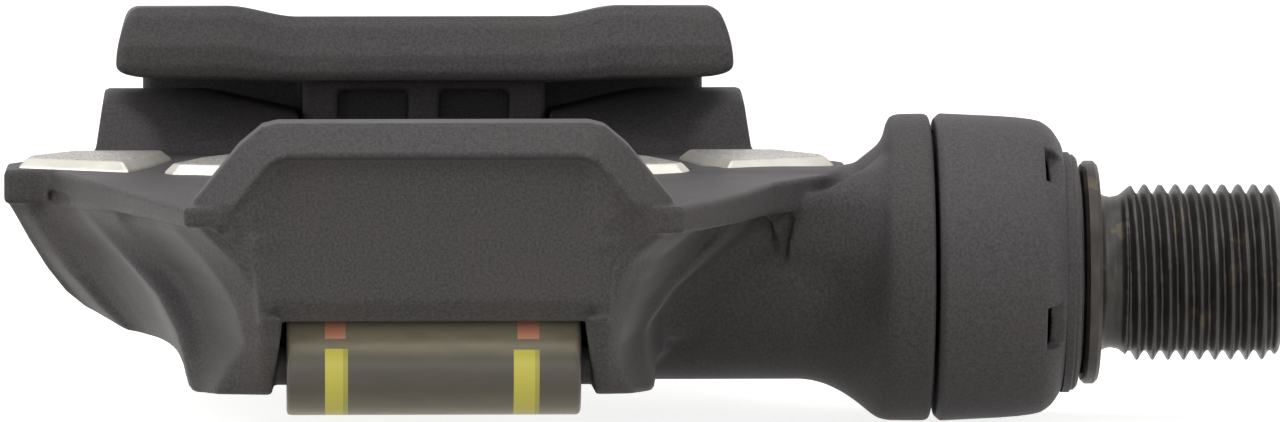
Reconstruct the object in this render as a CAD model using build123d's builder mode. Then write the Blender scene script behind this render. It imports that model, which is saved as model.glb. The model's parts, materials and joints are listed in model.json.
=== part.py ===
from build123d import *
from math import cos, radians, sqrt, tan
import os

os.makedirs("parts", exist_ok=True)

# ======================================================================
# Clipless road pedal, right-hand side, with a power-measuring spindle pod.
# Millimetres.  Origin: crank-side face of the crank washer, on the spindle
# axis.  +X points to the crank, +Y to the heel, +Z up.
# ======================================================================

# ---- fits and gaps ----------------------------------------------------
running_fit = 0.03        # radial, rolling parts and journals that turn
seat_fit = 0.01           # radial, parts pushed on and held still
seal_fit = 0.05           # radial, seal lip round the journal
spacer_fit = 0.05         # radial, the loose spacer between the bearings
side_gap = 0.15           # between faces that turn past each other
claw_gap = 0.3            # between the claw and the ears beside it
blade_gap = 0.35          # round the leaf spring in its channel
pod_gap = 0.35            # between the pod and the body collar

# ---- crank thread, 9/16 inch by 20 turns per inch, as a plain shaft over its crests
inch = 25.4
thread_radius = inch * 9 / 16 / 2
thread_length = 12.4
thread_chamfer = 0.7
neck_radius = 6.1
neck_length = 2.35
key_flats = 8.0           # hexagon key size
key_depth = 7.0

# ---- washer and spindle flange -----------------------------------------
washer_radius = 9.05
washer_thickness = 1.3
washer_chamfer = 0.3
flange_radius = 8.4
flange_thickness = 0.4

# ---- pod ----------------------------------------------------------------
pod_ring_radius = 9.75
pod_ring_thickness = 1.2
pod_ring_edge = 0.4
pod_length = 10.35
pod_radius = 12.5
pod_taper = 0.4           # the radius lost from the pedal end to the shoulder
pod_shoulder = 2.2        # length and depth of the chamfer at the crank end
pod_rise = 0.45           # the pod and collar stand this much above the axis
pod_wall = 1.2
pod_seat_radius = 7.9     # spindle under the pod ring
gauge_radius = 7.5        # spindle under the electronics
cover_thickness = 1.1
notch_count = 5           # spanner notches round the crank end of the pod
notch_width = 3.8
notch_length = 1.7
notch_depth = 1.4
notch_turn = -22.0        # degrees above the nose side of the first notch
board_thickness = 1.0
board_wall_gap = 0.4
cell_thickness = 2.0
cell_length = 5.2
cell_angle = 250.0
gauge_count = 4
gauge_thickness = 0.15
gauge_length = 4.0
gauge_width = 3.0

# ---- journals and bearings -------------------------------------------------
seal_journal_radius = 6.5
seal_radius = 9.6
seal_thickness = 2.6
needle_journal_radius = 5.0
needle_shell_radius = 7.0
needle_shell_length = 12.0
needle_shell_wall = 0.4
needle_count = 14
needle_length = 9.0
needle_cage_thickness = 0.9
shaft_radius = 4.6
shaft_bore_radius = 5.4
bearing_bore_radius = 3.0
bearing_radius = 6.5
bearing_width = 5.0
bearing_count = 2
race_wall = 1.05
ball_radius = 1.1
ball_count = 8
ball_cage_width = 2.9
stub_radius = 2.5         # threaded end of the spindle
nut_flats = 8.0
nut_thickness = 2.5
lock_ring_radius = 8.0
lock_ring_thickness = 2.0
lock_ring_slots = 4
lock_ring_slot = 1.2      # width of the spanner slots

# ---- body: collar and barrel -------------------------------------------------
collar_radius = 12.45
collar_length = 3.3
collar_edge = 0.5
flare_length = 5.0
flare_bend = 0.62         # where the flare's curve is half-way, along and out
flare_share = 0.3
barrel_radius = 8.6
boss_wall = 1.4           # closed outboard end of the bearing boss

# ---- body: platform -------------------------------------------------------
middle_x = -54.2          # middle plane of the platform
deck_top = 8.3
deck_thickness = 2.4
deck_half_width = 34.3
deck_rear_y = 26.0
# Edge of the platform, nose to heel.  Its side is given as (distance inside
# the widest line, Y), and its ends as (distance from the middle, Y).
deck_side = [(9.7, -26.0), (5.9, -14.0), (2.3, -4.5), (0, 1.0), (0, 11.0), (3.3, 18.0)]
deck_outline = [
    (19.3, -42.0),
    (21.6, -36.0),
    *((deck_half_width - inset, along) for inset, along in deck_side),
    (27.2, deck_rear_y),
]
# The wings under the platform at four stations along Y: how far inside the
# platform's widest line their edge, two knees and root lie, then the heights
# of these four on the outboard and on the inboard side.
wing_insets = [
    (17.0, (3.5, 7.3, 10.3, 16.3)),
    (2.0, (0.1, 5.7, 9.3, 16.3)),
    (-14.0, (6.1, 9.3, 11.8, 16.3)),
    (-33.0, (11.9, 12.9, 13.9, 18.3)),
]
outboard_heights = [
    (5.6, -0.6, -3.2, -4.6),
    (5.4, -1.8, -4.2, -5.2),
    (5.8, 1.6, -0.6, -3.0),
    (6.3, 5.0, 3.6, 1.0),
]
inboard_heights = [
    (6.2, 4.4, 2.6, -1.0),
    (6.4, 4.2, 2.2, -2.0),
    (6.5, 5.0, 3.2, -1.0),
    (6.6, 6.0, 5.0, 2.0),
]

# ---- body: nose and arch ----------------------------------------------------
nose_y = -44.0            # front face of the arch
nose_depth = 8.0
nose_sweep = 3.0          # the arch's feet stand this much behind its middle
arch_top = 14.8
arch_band = 2.4           # height of the arch over the cleat pocket
arch_base_half = 19.0
# Shoulder of the arch as (distance from the middle, Z), from its flat top.
arch_shoulder = [(12.3, arch_top), (13.3, 14.5), (15.1, 13.2)]
arch_wall = 3.2           # front wall of the cleat pocket
panel_depth = 1.2         # recess of the front panel behind the arch rim
panel_shoulder = [(11.7, arch_top - arch_band), (13.4, 11.2)]
panel_low_half = 17.0
panel_low_z = 6.4
panel_bottom = 1.0
nose_block_half = 13.6
nose_block_bottom = -0.2
pocket_half = 10.2
pocket_floor = 8.0
well_half = 10.6          # shallow well between the wear pads
well_rear_y = 19.0
well_depth = 0.5

# ---- body: keel -------------------------------------------------------------
keel_half = 19.2          # outer face of the rails, from the middle
keel_front_y = -39.0
keel_swept_y = -31.0      # where the swept fronts of the rails end
keel_rear_y = 27.0
keel_bottom = -6.55       # at the front of the rails
keel_slope = 2.6          # degrees, the keel and the leaf spring drop to the heel

# ---- wear pads ----------------------------------------------------------------
pad_top = 9.1
pad_thickness = 1.3
pad_edge = 0.75
pad_fit = 0.05            # round each pad in its recess
peg_radius = 1.3
peg_length = 1.5
# Outer pads as (distance inside the platform's widest line, Y), and inner pads
# as (distance from the middle, Y).
outer_pad_insets = [(1.1, 5.5), (1.4, 9.0), (5.1, 15.4), (13.5, 15.4), (11.9, 6.5), (9.9, -2.5)]
outer_peg_insets = [(7.5, 5.6), (7.0, 12.0)]
outer_pad = [(deck_half_width - inset, along) for inset, along in outer_pad_insets]
outer_pegs = [(deck_half_width - inset, along) for inset, along in outer_peg_insets]
inner_pad = [(21.3, -3.0), (18.9, 6.5), (15.0, 13.0), (12.0, 13.0), (12.5, -7.0), (17.0, -6.5), (20.6, -5.0)]
inner_pegs = [(15.2, -4.9), (14.8, 8.6)]

# ---- rear claw ------------------------------------------------------------------
pivot_y = 31.0
pivot_z = 1.5
pin_radius = 2.0
pin_inset = 1.0           # the pin ends this far inside the ear faces
bush_wall = 0.9
bush_length = 6.0
ear_radius = 11.8         # the ears' round tops, about the claw pin
ear_half = 27.2
ear_front_y = 22.0
ear_rear_y = 38.0
ear_bottom = -3.5
ear_waist_y = 26.5        # the lower front of the ears, above the keel
ear_heel_z = 0.5          # where the ears' rear face turns under
ear_slope_start = 18.5    # outside this the ear tops are level
ear_inner_drop = 1.8      # the tops fall this much towards the claw's arm
claw_half = 10.1          # half width of the claw's arm between the ears
claw_bar_half = 25.4
claw_bar_rear = 36.0
claw_bar_bottom = 14.0
claw_bar_top = 19.6
claw_end_top = 20.7
claw_end_half = 16.5      # the bar is at its tallest outside this
claw_lip_y = 18.5         # front edge of the lip in the middle
claw_sweep = 3.5          # the ends of the bar stand this much further forward
claw_arm_front = 26.0
claw_arm_rear = 34.0
claw_window_width = 5.8
claw_window_height = 4.4
claw_window_top = 13.3
claw_window_spread = 4.2  # centre of each window from the middle
claw_boss_radius = 4.6
heel_y = 37.0
heel_radius = 2.0
shoe_thickness = 0.6

# ---- leaf spring ----------------------------------------------------------------
blade_width = 22.9
blade_thickness = 2.0
blade_nose_radius = 3.85  # outside of the curled front end
blade_nose_y = -37.0      # centre of the curl
blade_nose_z = -4.4
blade_upper_leg = 2.5
blade_rear_y = 39.0
heel_rest_gap = 0.3       # between the heel shoe and the leaf at rest

# ======================================================================
# Stations along the spindle, worked out from the sizes above
# ======================================================================
thread_end = neck_length + thread_length
washer_seat_radius = thread_radius + seat_fit
flange_x = -washer_thickness
pod_ring_x = flange_x - flange_thickness
pod_face_x = pod_ring_x - pod_ring_thickness
pod_back_x = pod_face_x - pod_length
collar_x = pod_back_x - pod_gap
flare_x = collar_x - collar_length
barrel_x = flare_x - flare_length
seal_low_x = collar_x - side_gap - seal_thickness
shell_high_x = seal_low_x - lock_ring_thickness
journal_step_x = shell_high_x + side_gap
shell_low_x = shell_high_x - needle_shell_length
boss_end_x = middle_x - keel_half
nut_room_x = boss_end_x + boss_wall
bearing_low_x = nut_room_x + 2 * side_gap + nut_thickness
bearing_high_x = bearing_low_x + bearing_count * bearing_width
bearing_centres = [bearing_low_x + (k + 0.5) * bearing_width for k in range(bearing_count)]
ball_pitch_radius = (bearing_bore_radius + bearing_radius) / 2
pod_axis = Axis((0, 0, pod_rise), (1, 0, 0))


def plain_ring(x_low, x_high, r_in, r_out, edge=0.0):
    """A ring about the spindle axis, with its outer edges broken by `edge`."""
    with BuildPart() as ring:
        with BuildSketch(Plane.XY):
            with Locations((x_low, r_in)):
                Rectangle(x_high - x_low, r_out - r_in, align=(Align.MIN, Align.MIN))
        revolve(axis=Axis.X)
        if edge > 0:
            outer = ring.edges().filter_by(GeomType.CIRCLE).group_by(SortBy.RADIUS)[-1]
            chamfer(outer, edge)
    return ring


# ======================================================================
# Spindle
# ======================================================================
with BuildPart() as spindle:
    with BuildSketch(Plane.XY):
        with BuildLine():
            Polyline(
                (thread_end, 0),
                (thread_end, thread_radius - thread_chamfer),
                (thread_end - thread_chamfer, thread_radius),
                (neck_length + thread_chamfer, thread_radius),
                (neck_length, neck_radius),
                (0, neck_radius),
                (0, washer_seat_radius),
                (flange_x, washer_seat_radius),
                (flange_x, flange_radius),
                (pod_ring_x, flange_radius),
                (pod_ring_x, pod_seat_radius),
                (pod_face_x - pod_wall, pod_seat_radius),
                (pod_face_x - pod_wall, gauge_radius),
                (pod_back_x, gauge_radius),
                (pod_back_x, seal_journal_radius),
                (journal_step_x, seal_journal_radius),
                (journal_step_x, needle_journal_radius),
                (shell_low_x - side_gap, needle_journal_radius),
                (shell_low_x - side_gap, shaft_radius),
                (bearing_high_x, shaft_radius),
                (bearing_high_x, bearing_bore_radius),
                (bearing_low_x, bearing_bore_radius),
                (bearing_low_x, stub_radius),
                (bearing_low_x - nut_thickness, stub_radius),
                (bearing_low_x - nut_thickness, 0),
                close=True,
            )
        make_face()
    revolve(axis=Axis.X)
    with BuildSketch(Plane.YZ.offset(thread_end)):
        RegularPolygon(key_flats / 2, 6, major_radius=False)
    extrude(amount=-key_depth, mode=Mode.SUBTRACT)
spindle.part.label = "spindle"
export_step(spindle.part, "parts/spindle.step")

# ======================================================================
# Crank washer, pod and its electronics
# ======================================================================
crank_washer = plain_ring(
    flange_x, 0, washer_seat_radius + seat_fit, washer_radius, washer_chamfer
)
crank_washer.part.label = "crank_washer"
export_step(crank_washer.part, "parts/crank_washer.step")

pod_end_ring = plain_ring(
    pod_face_x, pod_ring_x, pod_seat_radius + seat_fit, pod_ring_radius, pod_ring_edge
)
pod_end_ring.part.label = "pod_end_ring"
export_step(pod_end_ring.part, "parts/pod_end_ring.step")

pod_plane = Plane((0, 0, pod_rise))
pod_shoulder_x = pod_face_x - pod_shoulder
cover_x = pod_back_x + cover_thickness
pod_inner_radius = pod_radius - pod_wall - pod_taper
with BuildPart() as pod_housing:
    with BuildSketch(pod_plane):
        with BuildLine():
            Polyline(
                (pod_back_x, 0),
                (pod_back_x, pod_radius),
                (pod_shoulder_x, pod_radius - pod_taper),
                (pod_shoulder_x + pod_shoulder / 2, pod_radius - pod_taper - pod_shoulder / 4),
                (pod_face_x, pod_radius - pod_taper - pod_shoulder),
                (pod_face_x, 0),
                close=True,
            )
        make_face()
    revolve(axis=pod_axis)
    with BuildSketch(pod_plane):
        with BuildLine():
            Polyline(
                (pod_back_x, 0),
                (pod_back_x, pod_inner_radius),
                (pod_shoulder_x, pod_inner_radius),
                (pod_face_x - pod_wall, pod_inner_radius - pod_shoulder + pod_wall),
                (pod_face_x - pod_wall, 0),
                close=True,
            )
        make_face()
    revolve(axis=pod_axis, mode=Mode.SUBTRACT)
    with BuildSketch(Plane.YZ.offset(pod_face_x)):
        Circle(pod_seat_radius + seat_fit)
    extrude(amount=-pod_wall, mode=Mode.SUBTRACT)
    notch_centre_radius = pod_radius - pod_taper - notch_depth / 2
    with BuildSketch(Plane.YZ.offset(pod_face_x)):
        with Locations((0, pod_rise)):
            with PolarLocations(notch_centre_radius, notch_count, 180 - notch_turn):
                Rectangle(notch_depth, notch_width)
    extrude(amount=-notch_length, mode=Mode.SUBTRACT)
pod_housing.part.label = "pod_housing"
export_step(pod_housing.part, "parts/pod_housing.step")

with BuildPart() as pod_back_cover:
    with BuildSketch(Plane.YZ.offset(pod_back_x)):
        with Locations((0, pod_rise)):
            Circle(pod_inner_radius - seat_fit)
        Circle(gauge_radius + seat_fit, mode=Mode.SUBTRACT)
    extrude(amount=cover_thickness)
pod_back_cover.part.label = "pod_back_cover"
export_step(pod_back_cover.part, "parts/pod_back_cover.step")

board_outer = pod_inner_radius - pod_rise - board_wall_gap
sensor_board = plain_ring(
    cover_x, cover_x + board_thickness, gauge_radius + seat_fit, board_outer
)
sensor_board.part.label = "sensor_board"
export_step(sensor_board.part, "parts/sensor_board.step")

cell_x = cover_x + board_thickness + seat_fit
cell_inner = board_outer - cell_thickness
with BuildPart() as pod_battery:
    with BuildSketch(Plane((cell_x, 0, 0))):
        with Locations((0, cell_inner)):
            Rectangle(cell_length, cell_thickness, align=(Align.MIN, Align.MIN))
    revolve(axis=Axis.X, revolution_arc=cell_angle)
pod_battery.part.label = "pod_battery"
export_step(pod_battery.part, "parts/pod_battery.step")

gauge_x = (cell_x + pod_face_x - pod_wall) / 2
with BuildPart() as strain_gauges:
    with BuildSketch(Plane.YZ.offset(gauge_x - gauge_length / 2)):
        Circle(gauge_radius + gauge_thickness)
        Circle(gauge_radius, mode=Mode.SUBTRACT)
        with PolarLocations(gauge_radius, gauge_count):
            Rectangle(gauge_width, gauge_width, mode=Mode.INTERSECT)
    extrude(amount=gauge_length)
strain_gauges.part.label = "strain_gauges"
export_step(strain_gauges.part, "parts/strain_gauges.step")

# ======================================================================
# Needle bearing at the crank end of the body
# ======================================================================
needle_radius = (needle_shell_radius - needle_shell_wall - needle_journal_radius) / 2 - running_fit
needle_pitch_radius = needle_journal_radius + running_fit + needle_radius
needle_x = (shell_low_x + shell_high_x) / 2
lip_inner = needle_journal_radius + needle_shell_wall
with BuildPart() as needle_shell:
    with BuildSketch(Plane.XY):
        with BuildLine():
            Polyline(
                (shell_low_x, lip_inner),
                (shell_low_x, needle_shell_radius),
                (shell_high_x, needle_shell_radius),
                (shell_high_x, lip_inner),
                (shell_high_x - needle_shell_wall, lip_inner),
                (shell_high_x - needle_shell_wall, needle_shell_radius - needle_shell_wall),
                (shell_low_x + needle_shell_wall, needle_shell_radius - needle_shell_wall),
                (shell_low_x + needle_shell_wall, lip_inner),
                close=True,
            )
        make_face()
    revolve(axis=Axis.X)
needle_shell.part.label = "needle_shell"
export_step(needle_shell.part, "parts/needle_shell.step")

needle_plane = Plane.YZ.offset(needle_x - needle_length / 2)
with BuildPart() as needle_rollers:
    with BuildSketch(needle_plane):
        with PolarLocations(needle_pitch_radius, needle_count):
            Circle(needle_radius)
    extrude(amount=needle_length)
needle_rollers.part.label = "needle_rollers"
export_step(needle_rollers.part, "parts/needle_rollers.step")

cage_length = needle_shell_length - 2 * (needle_shell_wall + side_gap)
with BuildPart() as needle_cage:
    with BuildSketch(Plane.YZ.offset(needle_x - cage_length / 2)):
        Circle(needle_pitch_radius + needle_cage_thickness / 2)
        Circle(needle_pitch_radius - needle_cage_thickness / 2, mode=Mode.SUBTRACT)
    extrude(amount=cage_length)
    with BuildSketch(needle_plane.offset(-running_fit)):
        with PolarLocations(needle_pitch_radius, needle_count):
            Circle(needle_radius + running_fit)
    extrude(amount=needle_length + 2 * running_fit, mode=Mode.SUBTRACT)
needle_cage.part.label = "needle_cage"
export_step(needle_cage.part, "parts/needle_cage.step")

# ======================================================================
# Pair of ball bearings at the outboard end
# ======================================================================


def bearing_races(r_in, r_out):
    """Both races of one size, with the ball track turned into them."""
    with BuildPart() as races:
        with BuildSketch(Plane.XY):
            for centre in bearing_centres:
                with Locations((centre, (r_in + r_out) / 2)):
                    Rectangle(bearing_width - 2 * seat_fit, r_out - r_in)
                with Locations((centre, ball_pitch_radius)):
                    Circle(ball_radius + running_fit, mode=Mode.SUBTRACT)
        revolve(axis=Axis.X)
    return races


bearing_inner_races = bearing_races(
    bearing_bore_radius + seat_fit, bearing_bore_radius + race_wall
)
bearing_inner_races.part.label = "bearing_inner_races"
export_step(bearing_inner_races.part, "parts/bearing_inner_races.step")

bearing_outer_races = bearing_races(bearing_radius - race_wall, bearing_radius)
bearing_outer_races.part.label = "bearing_outer_races"
export_step(bearing_outer_races.part, "parts/bearing_outer_races.step")

with BuildPart() as bearing_balls:
    for centre in bearing_centres:
        with Locations(Plane.YZ.offset(centre)):
            with PolarLocations(ball_pitch_radius, ball_count):
                Sphere(ball_radius)
bearing_balls.part.label = "bearing_balls"
export_step(bearing_balls.part, "parts/bearing_balls.step")

cage_inner = bearing_bore_radius + race_wall + side_gap
cage_outer = bearing_radius - race_wall - side_gap
with BuildPart() as ball_cages:
    for centre in bearing_centres:
        with BuildSketch(Plane.YZ.offset(centre - ball_cage_width / 2)):
            Circle(cage_outer)
            Circle(cage_inner, mode=Mode.SUBTRACT)
        extrude(amount=ball_cage_width)
        with Locations(Plane.YZ.offset(centre)):
            with PolarLocations(ball_pitch_radius, ball_count):
                Cylinder(
                    ball_radius + running_fit,
                    bearing_radius - bearing_bore_radius,
                    rotation=(0, 90, 0),
                    mode=Mode.SUBTRACT,
                )
ball_cages.part.label = "ball_cages"
export_step(ball_cages.part, "parts/ball_cages.step")

with BuildPart() as spindle_nut:
    with BuildSketch(Plane.YZ.offset(bearing_low_x)):
        RegularPolygon(nut_flats / 2, 6, major_radius=False)
        Circle(stub_radius + seat_fit, mode=Mode.SUBTRACT)
    extrude(amount=-nut_thickness)
spindle_nut.part.label = "spindle_nut"
export_step(spindle_nut.part, "parts/spindle_nut.step")

collar_seal = plain_ring(
    seal_low_x, seal_low_x + seal_thickness, seal_journal_radius + seal_fit, seal_radius
)
collar_seal.part.label = "collar_seal"
export_step(collar_seal.part, "parts/collar_seal.step")

bearing_spacer = plain_ring(
    bearing_high_x, shell_low_x, shaft_bore_radius, bearing_radius - spacer_fit
)
bearing_spacer.part.label = "bearing_spacer"
export_step(bearing_spacer.part, "parts/bearing_spacer.step")

with BuildPart() as bearing_lock_ring:
    with BuildSketch(Plane.YZ.offset(shell_high_x)):
        Circle(lock_ring_radius - seat_fit)
        Circle(seal_journal_radius + side_gap, mode=Mode.SUBTRACT)
    extrude(amount=lock_ring_thickness)
    with BuildSketch(Plane.YZ.offset(seal_low_x)):
        with PolarLocations(lock_ring_radius, lock_ring_slots):
            Rectangle(lock_ring_slot, lock_ring_slot)
    extrude(amount=-lock_ring_thickness / 2, mode=Mode.SUBTRACT)
bearing_lock_ring.part.label = "bearing_lock_ring"
export_step(bearing_lock_ring.part, "parts/bearing_lock_ring.step")

# ======================================================================
# Leaf spring: a flat blade whose front end curls round the body's tongue
# ======================================================================
keel_fall = tan(radians(keel_slope))
blade_bottom_z = blade_nose_z - blade_nose_radius
blade_top_z = blade_bottom_z + blade_thickness
blade_drop = keel_fall * (blade_rear_y - blade_nose_y)
blade_inner_radius = blade_nose_radius - blade_thickness
blade_left = Plane.YZ.offset(middle_x - blade_width / 2)
with BuildPart() as blade_spring:
    with BuildSketch(blade_left):
        with BuildLine():
            Polyline(
                (blade_nose_y + blade_upper_leg, blade_nose_z + blade_nose_radius),
                (blade_nose_y, blade_nose_z + blade_nose_radius),
            )
            ThreePointArc(
                (blade_nose_y, blade_nose_z + blade_nose_radius),
                (blade_nose_y - blade_nose_radius, blade_nose_z),
                (blade_nose_y, blade_bottom_z),
            )
            Polyline(
                (blade_nose_y, blade_bottom_z),
                (blade_rear_y, blade_bottom_z - blade_drop),
                (blade_rear_y, blade_top_z - blade_drop),
                (blade_nose_y, blade_top_z),
            )
            ThreePointArc(
                (blade_nose_y, blade_top_z),
                (blade_nose_y - blade_inner_radius, blade_nose_z),
                (blade_nose_y, blade_nose_z + blade_inner_radius),
            )
            Polyline(
                (blade_nose_y, blade_nose_z + blade_inner_radius),
                (blade_nose_y + blade_upper_leg, blade_nose_z + blade_inner_radius),
                (blade_nose_y + blade_upper_leg, blade_nose_z + blade_nose_radius),
            )
        make_face()
    extrude(amount=blade_width)
blade_spring.part.label = "blade_spring"
export_step(blade_spring.part, "parts/blade_spring.step")

# ======================================================================
# Pedal body
# ======================================================================
deck_bottom = deck_top - deck_thickness
deck_core = deck_top - deck_thickness / 2
middle_plane = Plane((middle_x, 0, 0))
arm_slot_half = claw_half + claw_gap
tongue_radius = blade_inner_radius - blade_gap
nut_room_radius = nut_flats / sqrt(3) + blade_gap
channel_half = blade_width / 2 + blade_gap


def wing_outline(insets, heights, side):
    """Outline of one wing section, closed inside the platform."""
    across = [middle_x + side * (deck_half_width - inset) for inset in insets]
    return [(across[0], deck_core), *zip(across, heights), (across[-1], deck_core)]


with BuildPart() as pedal_body:
    # platform
    with BuildSketch(middle_plane.offset(deck_top)):
        with BuildLine():
            Polyline((0, deck_outline[0][1]), *deck_outline, (0, deck_rear_y), close=True)
        make_face()
        mirror(about=Plane.YZ)
    extrude(amount=-deck_thickness)
    # wings below the platform
    for wing_heights, side in ((outboard_heights, -1), (inboard_heights, 1)):
        for (station, insets), heights in zip(wing_insets, wing_heights):
            with BuildSketch(Plane.XZ.offset(-station)):
                with BuildLine():
                    Polyline(*wing_outline(insets, heights, side), close=True)
                make_face()
        loft(ruled=True)
    # keel block, as deep as the rails at their heel end
    keel_depth = deck_bottom - keel_bottom + keel_fall * (keel_rear_y - keel_front_y)
    with BuildSketch(middle_plane.offset(deck_bottom)):
        with BuildLine():
            Polyline(
                (0, keel_front_y),
                (nose_block_half, keel_front_y),
                (keel_half, keel_swept_y),
                (keel_half, keel_rear_y),
                (0, keel_rear_y),
                close=True,
            )
        make_face()
        mirror(about=Plane.YZ)
    extrude(amount=-keel_depth)
    # bearing boss and barrel
    with BuildSketch(Plane.YZ.offset(boss_end_x)):
        Circle(barrel_radius)
    extrude(amount=flare_x - boss_end_x)
    # the barrel's top is level with the platform
    with Locations((boss_end_x, 0, deck_top)):
        Box(
            barrel_x - boss_end_x,
            2 * barrel_radius,
            barrel_radius,
            align=(Align.MIN, Align.CENTER, Align.MIN),
            mode=Mode.SUBTRACT,
        )
    # flare and collar
    with BuildSketch(pod_plane):
        with BuildLine():
            Polyline((barrel_x, 0), (barrel_x, barrel_radius - pod_rise))
            ThreePointArc(
                (barrel_x, barrel_radius - pod_rise),
                (
                    barrel_x + flare_bend * flare_length,
                    barrel_radius - pod_rise + flare_share * (collar_radius - barrel_radius),
                ),
                (flare_x, collar_radius),
            )
            Polyline(
                (flare_x, collar_radius),
                (collar_x - collar_edge, collar_radius),
                (collar_x, collar_radius - collar_edge),
                (collar_x, 0),
                (barrel_x, 0),
            )
        make_face()
    revolve(axis=pod_axis)
    # nose: arch over the cleat pocket, and the block above the leaf spring
    with BuildSketch(Plane((middle_x, nose_y, 0), x_dir=(1, 0, 0), z_dir=(0, -1, 0))):
        with BuildLine():
            Polyline(
                (0, arch_top),
                *arch_shoulder,
                (arch_base_half, deck_top),
                (arch_base_half, panel_low_z),
                (nose_block_half, panel_low_z - panel_depth),
                (nose_block_half, nose_block_bottom),
                (0, nose_block_bottom),
                close=True,
            )
        make_face()
        mirror(about=Plane.YZ)
    extrude(amount=-nose_depth)
    # ears on both sides of the claw's arm
    for face_x in (middle_x - ear_half, middle_x + arm_slot_half):
        with BuildSketch(Plane.YZ.offset(face_x)):
            with BuildLine():
                Polyline(
                    (ear_front_y, deck_bottom),
                    (ear_front_y, pivot_z + ear_radius),
                    (ear_rear_y, pivot_z + ear_radius),
                    (ear_rear_y, ear_heel_z),
                    (pivot_y + claw_boss_radius, ear_bottom),
                    (ear_waist_y, ear_bottom),
                    close=True,
                )
            make_face()
            with Locations((pivot_y, pivot_z)):
                Circle(ear_radius, mode=Mode.INTERSECT)
        extrude(amount=ear_half - arm_slot_half)
    # the ear tops fall towards the claw's arm
    ear_top_z = pivot_z + ear_radius
    with BuildSketch(Plane((middle_x, ear_front_y, 0), x_dir=(1, 0, 0), z_dir=(0, -1, 0))):
        with BuildLine():
            Polyline(
                (0, ear_top_z),
                (ear_slope_start, ear_top_z),
                (arm_slot_half, ear_top_z - ear_inner_drop),
                (0, ear_top_z - ear_inner_drop),
                close=True,
            )
        make_face()
        mirror(about=Plane.YZ)
    extrude(amount=ear_front_y - ear_rear_y, mode=Mode.SUBTRACT)
    # the keel's sloping underside
    keel_low = keel_bottom - keel_depth
    with BuildSketch(Plane.YZ.offset(middle_x)):
        with BuildLine():
            Polyline(
                (keel_front_y, keel_bottom),
                (keel_rear_y, keel_bottom - keel_fall * (keel_rear_y - keel_front_y)),
                (keel_rear_y, keel_low),
                (keel_front_y, keel_low),
                close=True,
            )
        make_face()
    extrude(amount=keel_half, both=True, mode=Mode.SUBTRACT)
    # the arch's swept corners
    with BuildSketch(middle_plane.offset(nose_block_bottom)):
        with BuildLine():
            Polyline(
                (nose_block_half, nose_y),
                (arch_base_half, nose_y),
                (arch_base_half, nose_y + nose_sweep),
                close=True,
            )
        make_face()
        mirror(about=Plane.YZ)
    extrude(amount=arch_top - nose_block_bottom, mode=Mode.SUBTRACT)
    # recessed front panel
    with BuildSketch(Plane((middle_x, nose_y, 0), x_dir=(1, 0, 0), z_dir=(0, -1, 0))):
        with BuildLine():
            Polyline(
                (0, arch_top - arch_band),
                *panel_shoulder,
                (panel_low_half, panel_low_z),
                (nose_block_half - panel_depth, panel_low_z - panel_depth),
                (nose_block_half - panel_depth, panel_bottom),
                (0, panel_bottom),
                close=True,
            )
        make_face()
        mirror(about=Plane.YZ)
    extrude(amount=-panel_depth, mode=Mode.SUBTRACT)
    # cleat pocket under the arch, open to the heel
    pocket_height = arch_top - arch_band - pocket_floor
    pocket_y = nose_y + arch_wall
    with Locations((middle_x, pocket_y, pocket_floor)):
        Box(
            2 * pocket_half,
            nose_depth,
            pocket_height,
            align=(Align.CENTER, Align.MIN, Align.MIN),
            mode=Mode.SUBTRACT,
        )
    # shallow well between the pads
    with Locations((middle_x, pocket_y, deck_top - well_depth)):
        Box(
            2 * well_half,
            well_rear_y - pocket_y,
            pocket_floor - deck_top + 2 * well_depth,
            align=(Align.CENTER, Align.MIN, Align.MIN),
            mode=Mode.SUBTRACT,
        )
    # slot for the claw's arm, open to the heel
    slot_depth = ear_top_z + ear_radius
    with Locations((middle_x, claw_arm_front - claw_gap, ear_top_z)):
        Box(
            2 * arm_slot_half,
            ear_rear_y - claw_arm_front + claw_gap,
            slot_depth,
            align=(Align.CENTER, Align.MIN, Align.MAX),
            mode=Mode.SUBTRACT,
        )
    # channel of the leaf spring, which leaves the tongue inside its curl
    with BuildSketch(Plane.YZ.offset(middle_x)):
        with Locations((blade_nose_y, blade_nose_z)):
            Circle(blade_nose_radius + blade_gap)
            Rectangle(
                blade_upper_leg + blade_gap,
                blade_nose_radius + blade_gap,
                align=(Align.MIN, Align.MIN),
            )
        with BuildLine():
            Polyline(
                (blade_nose_y, blade_top_z + blade_gap),
                (blade_rear_y, blade_top_z + blade_gap - blade_drop),
                (blade_rear_y, keel_low),
                (keel_front_y - nose_depth, keel_low),
                (keel_front_y - nose_depth, blade_nose_z),
                (blade_nose_y - blade_nose_radius, blade_nose_z),
                close=True,
            )
        make_face()
        with Locations((blade_nose_y, blade_nose_z)):
            Circle(tongue_radius, mode=Mode.SUBTRACT)
            Rectangle(
                blade_nose_radius + blade_upper_leg,
                2 * tongue_radius,
                align=(Align.MIN, Align.CENTER),
                mode=Mode.SUBTRACT,
            )
    extrude(amount=channel_half, both=True, mode=Mode.SUBTRACT)
    # bores for the bearings, the spindle and the seal
    with BuildSketch(Plane.XY):
        with BuildLine():
            Polyline(
                (nut_room_x, 0),
                (nut_room_x, nut_room_radius),
                (bearing_low_x, nut_room_radius),
                (bearing_low_x, bearing_radius),
                (shell_low_x, bearing_radius),
                (shell_low_x, needle_shell_radius),
                (shell_high_x, needle_shell_radius),
                (shell_high_x, lock_ring_radius),
                (seal_low_x, lock_ring_radius),
                (seal_low_x, seal_radius),
                (collar_x, seal_radius),
                (collar_x, 0),
                close=True,
            )
        make_face()
    revolve(axis=Axis.X, mode=Mode.SUBTRACT)
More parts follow.
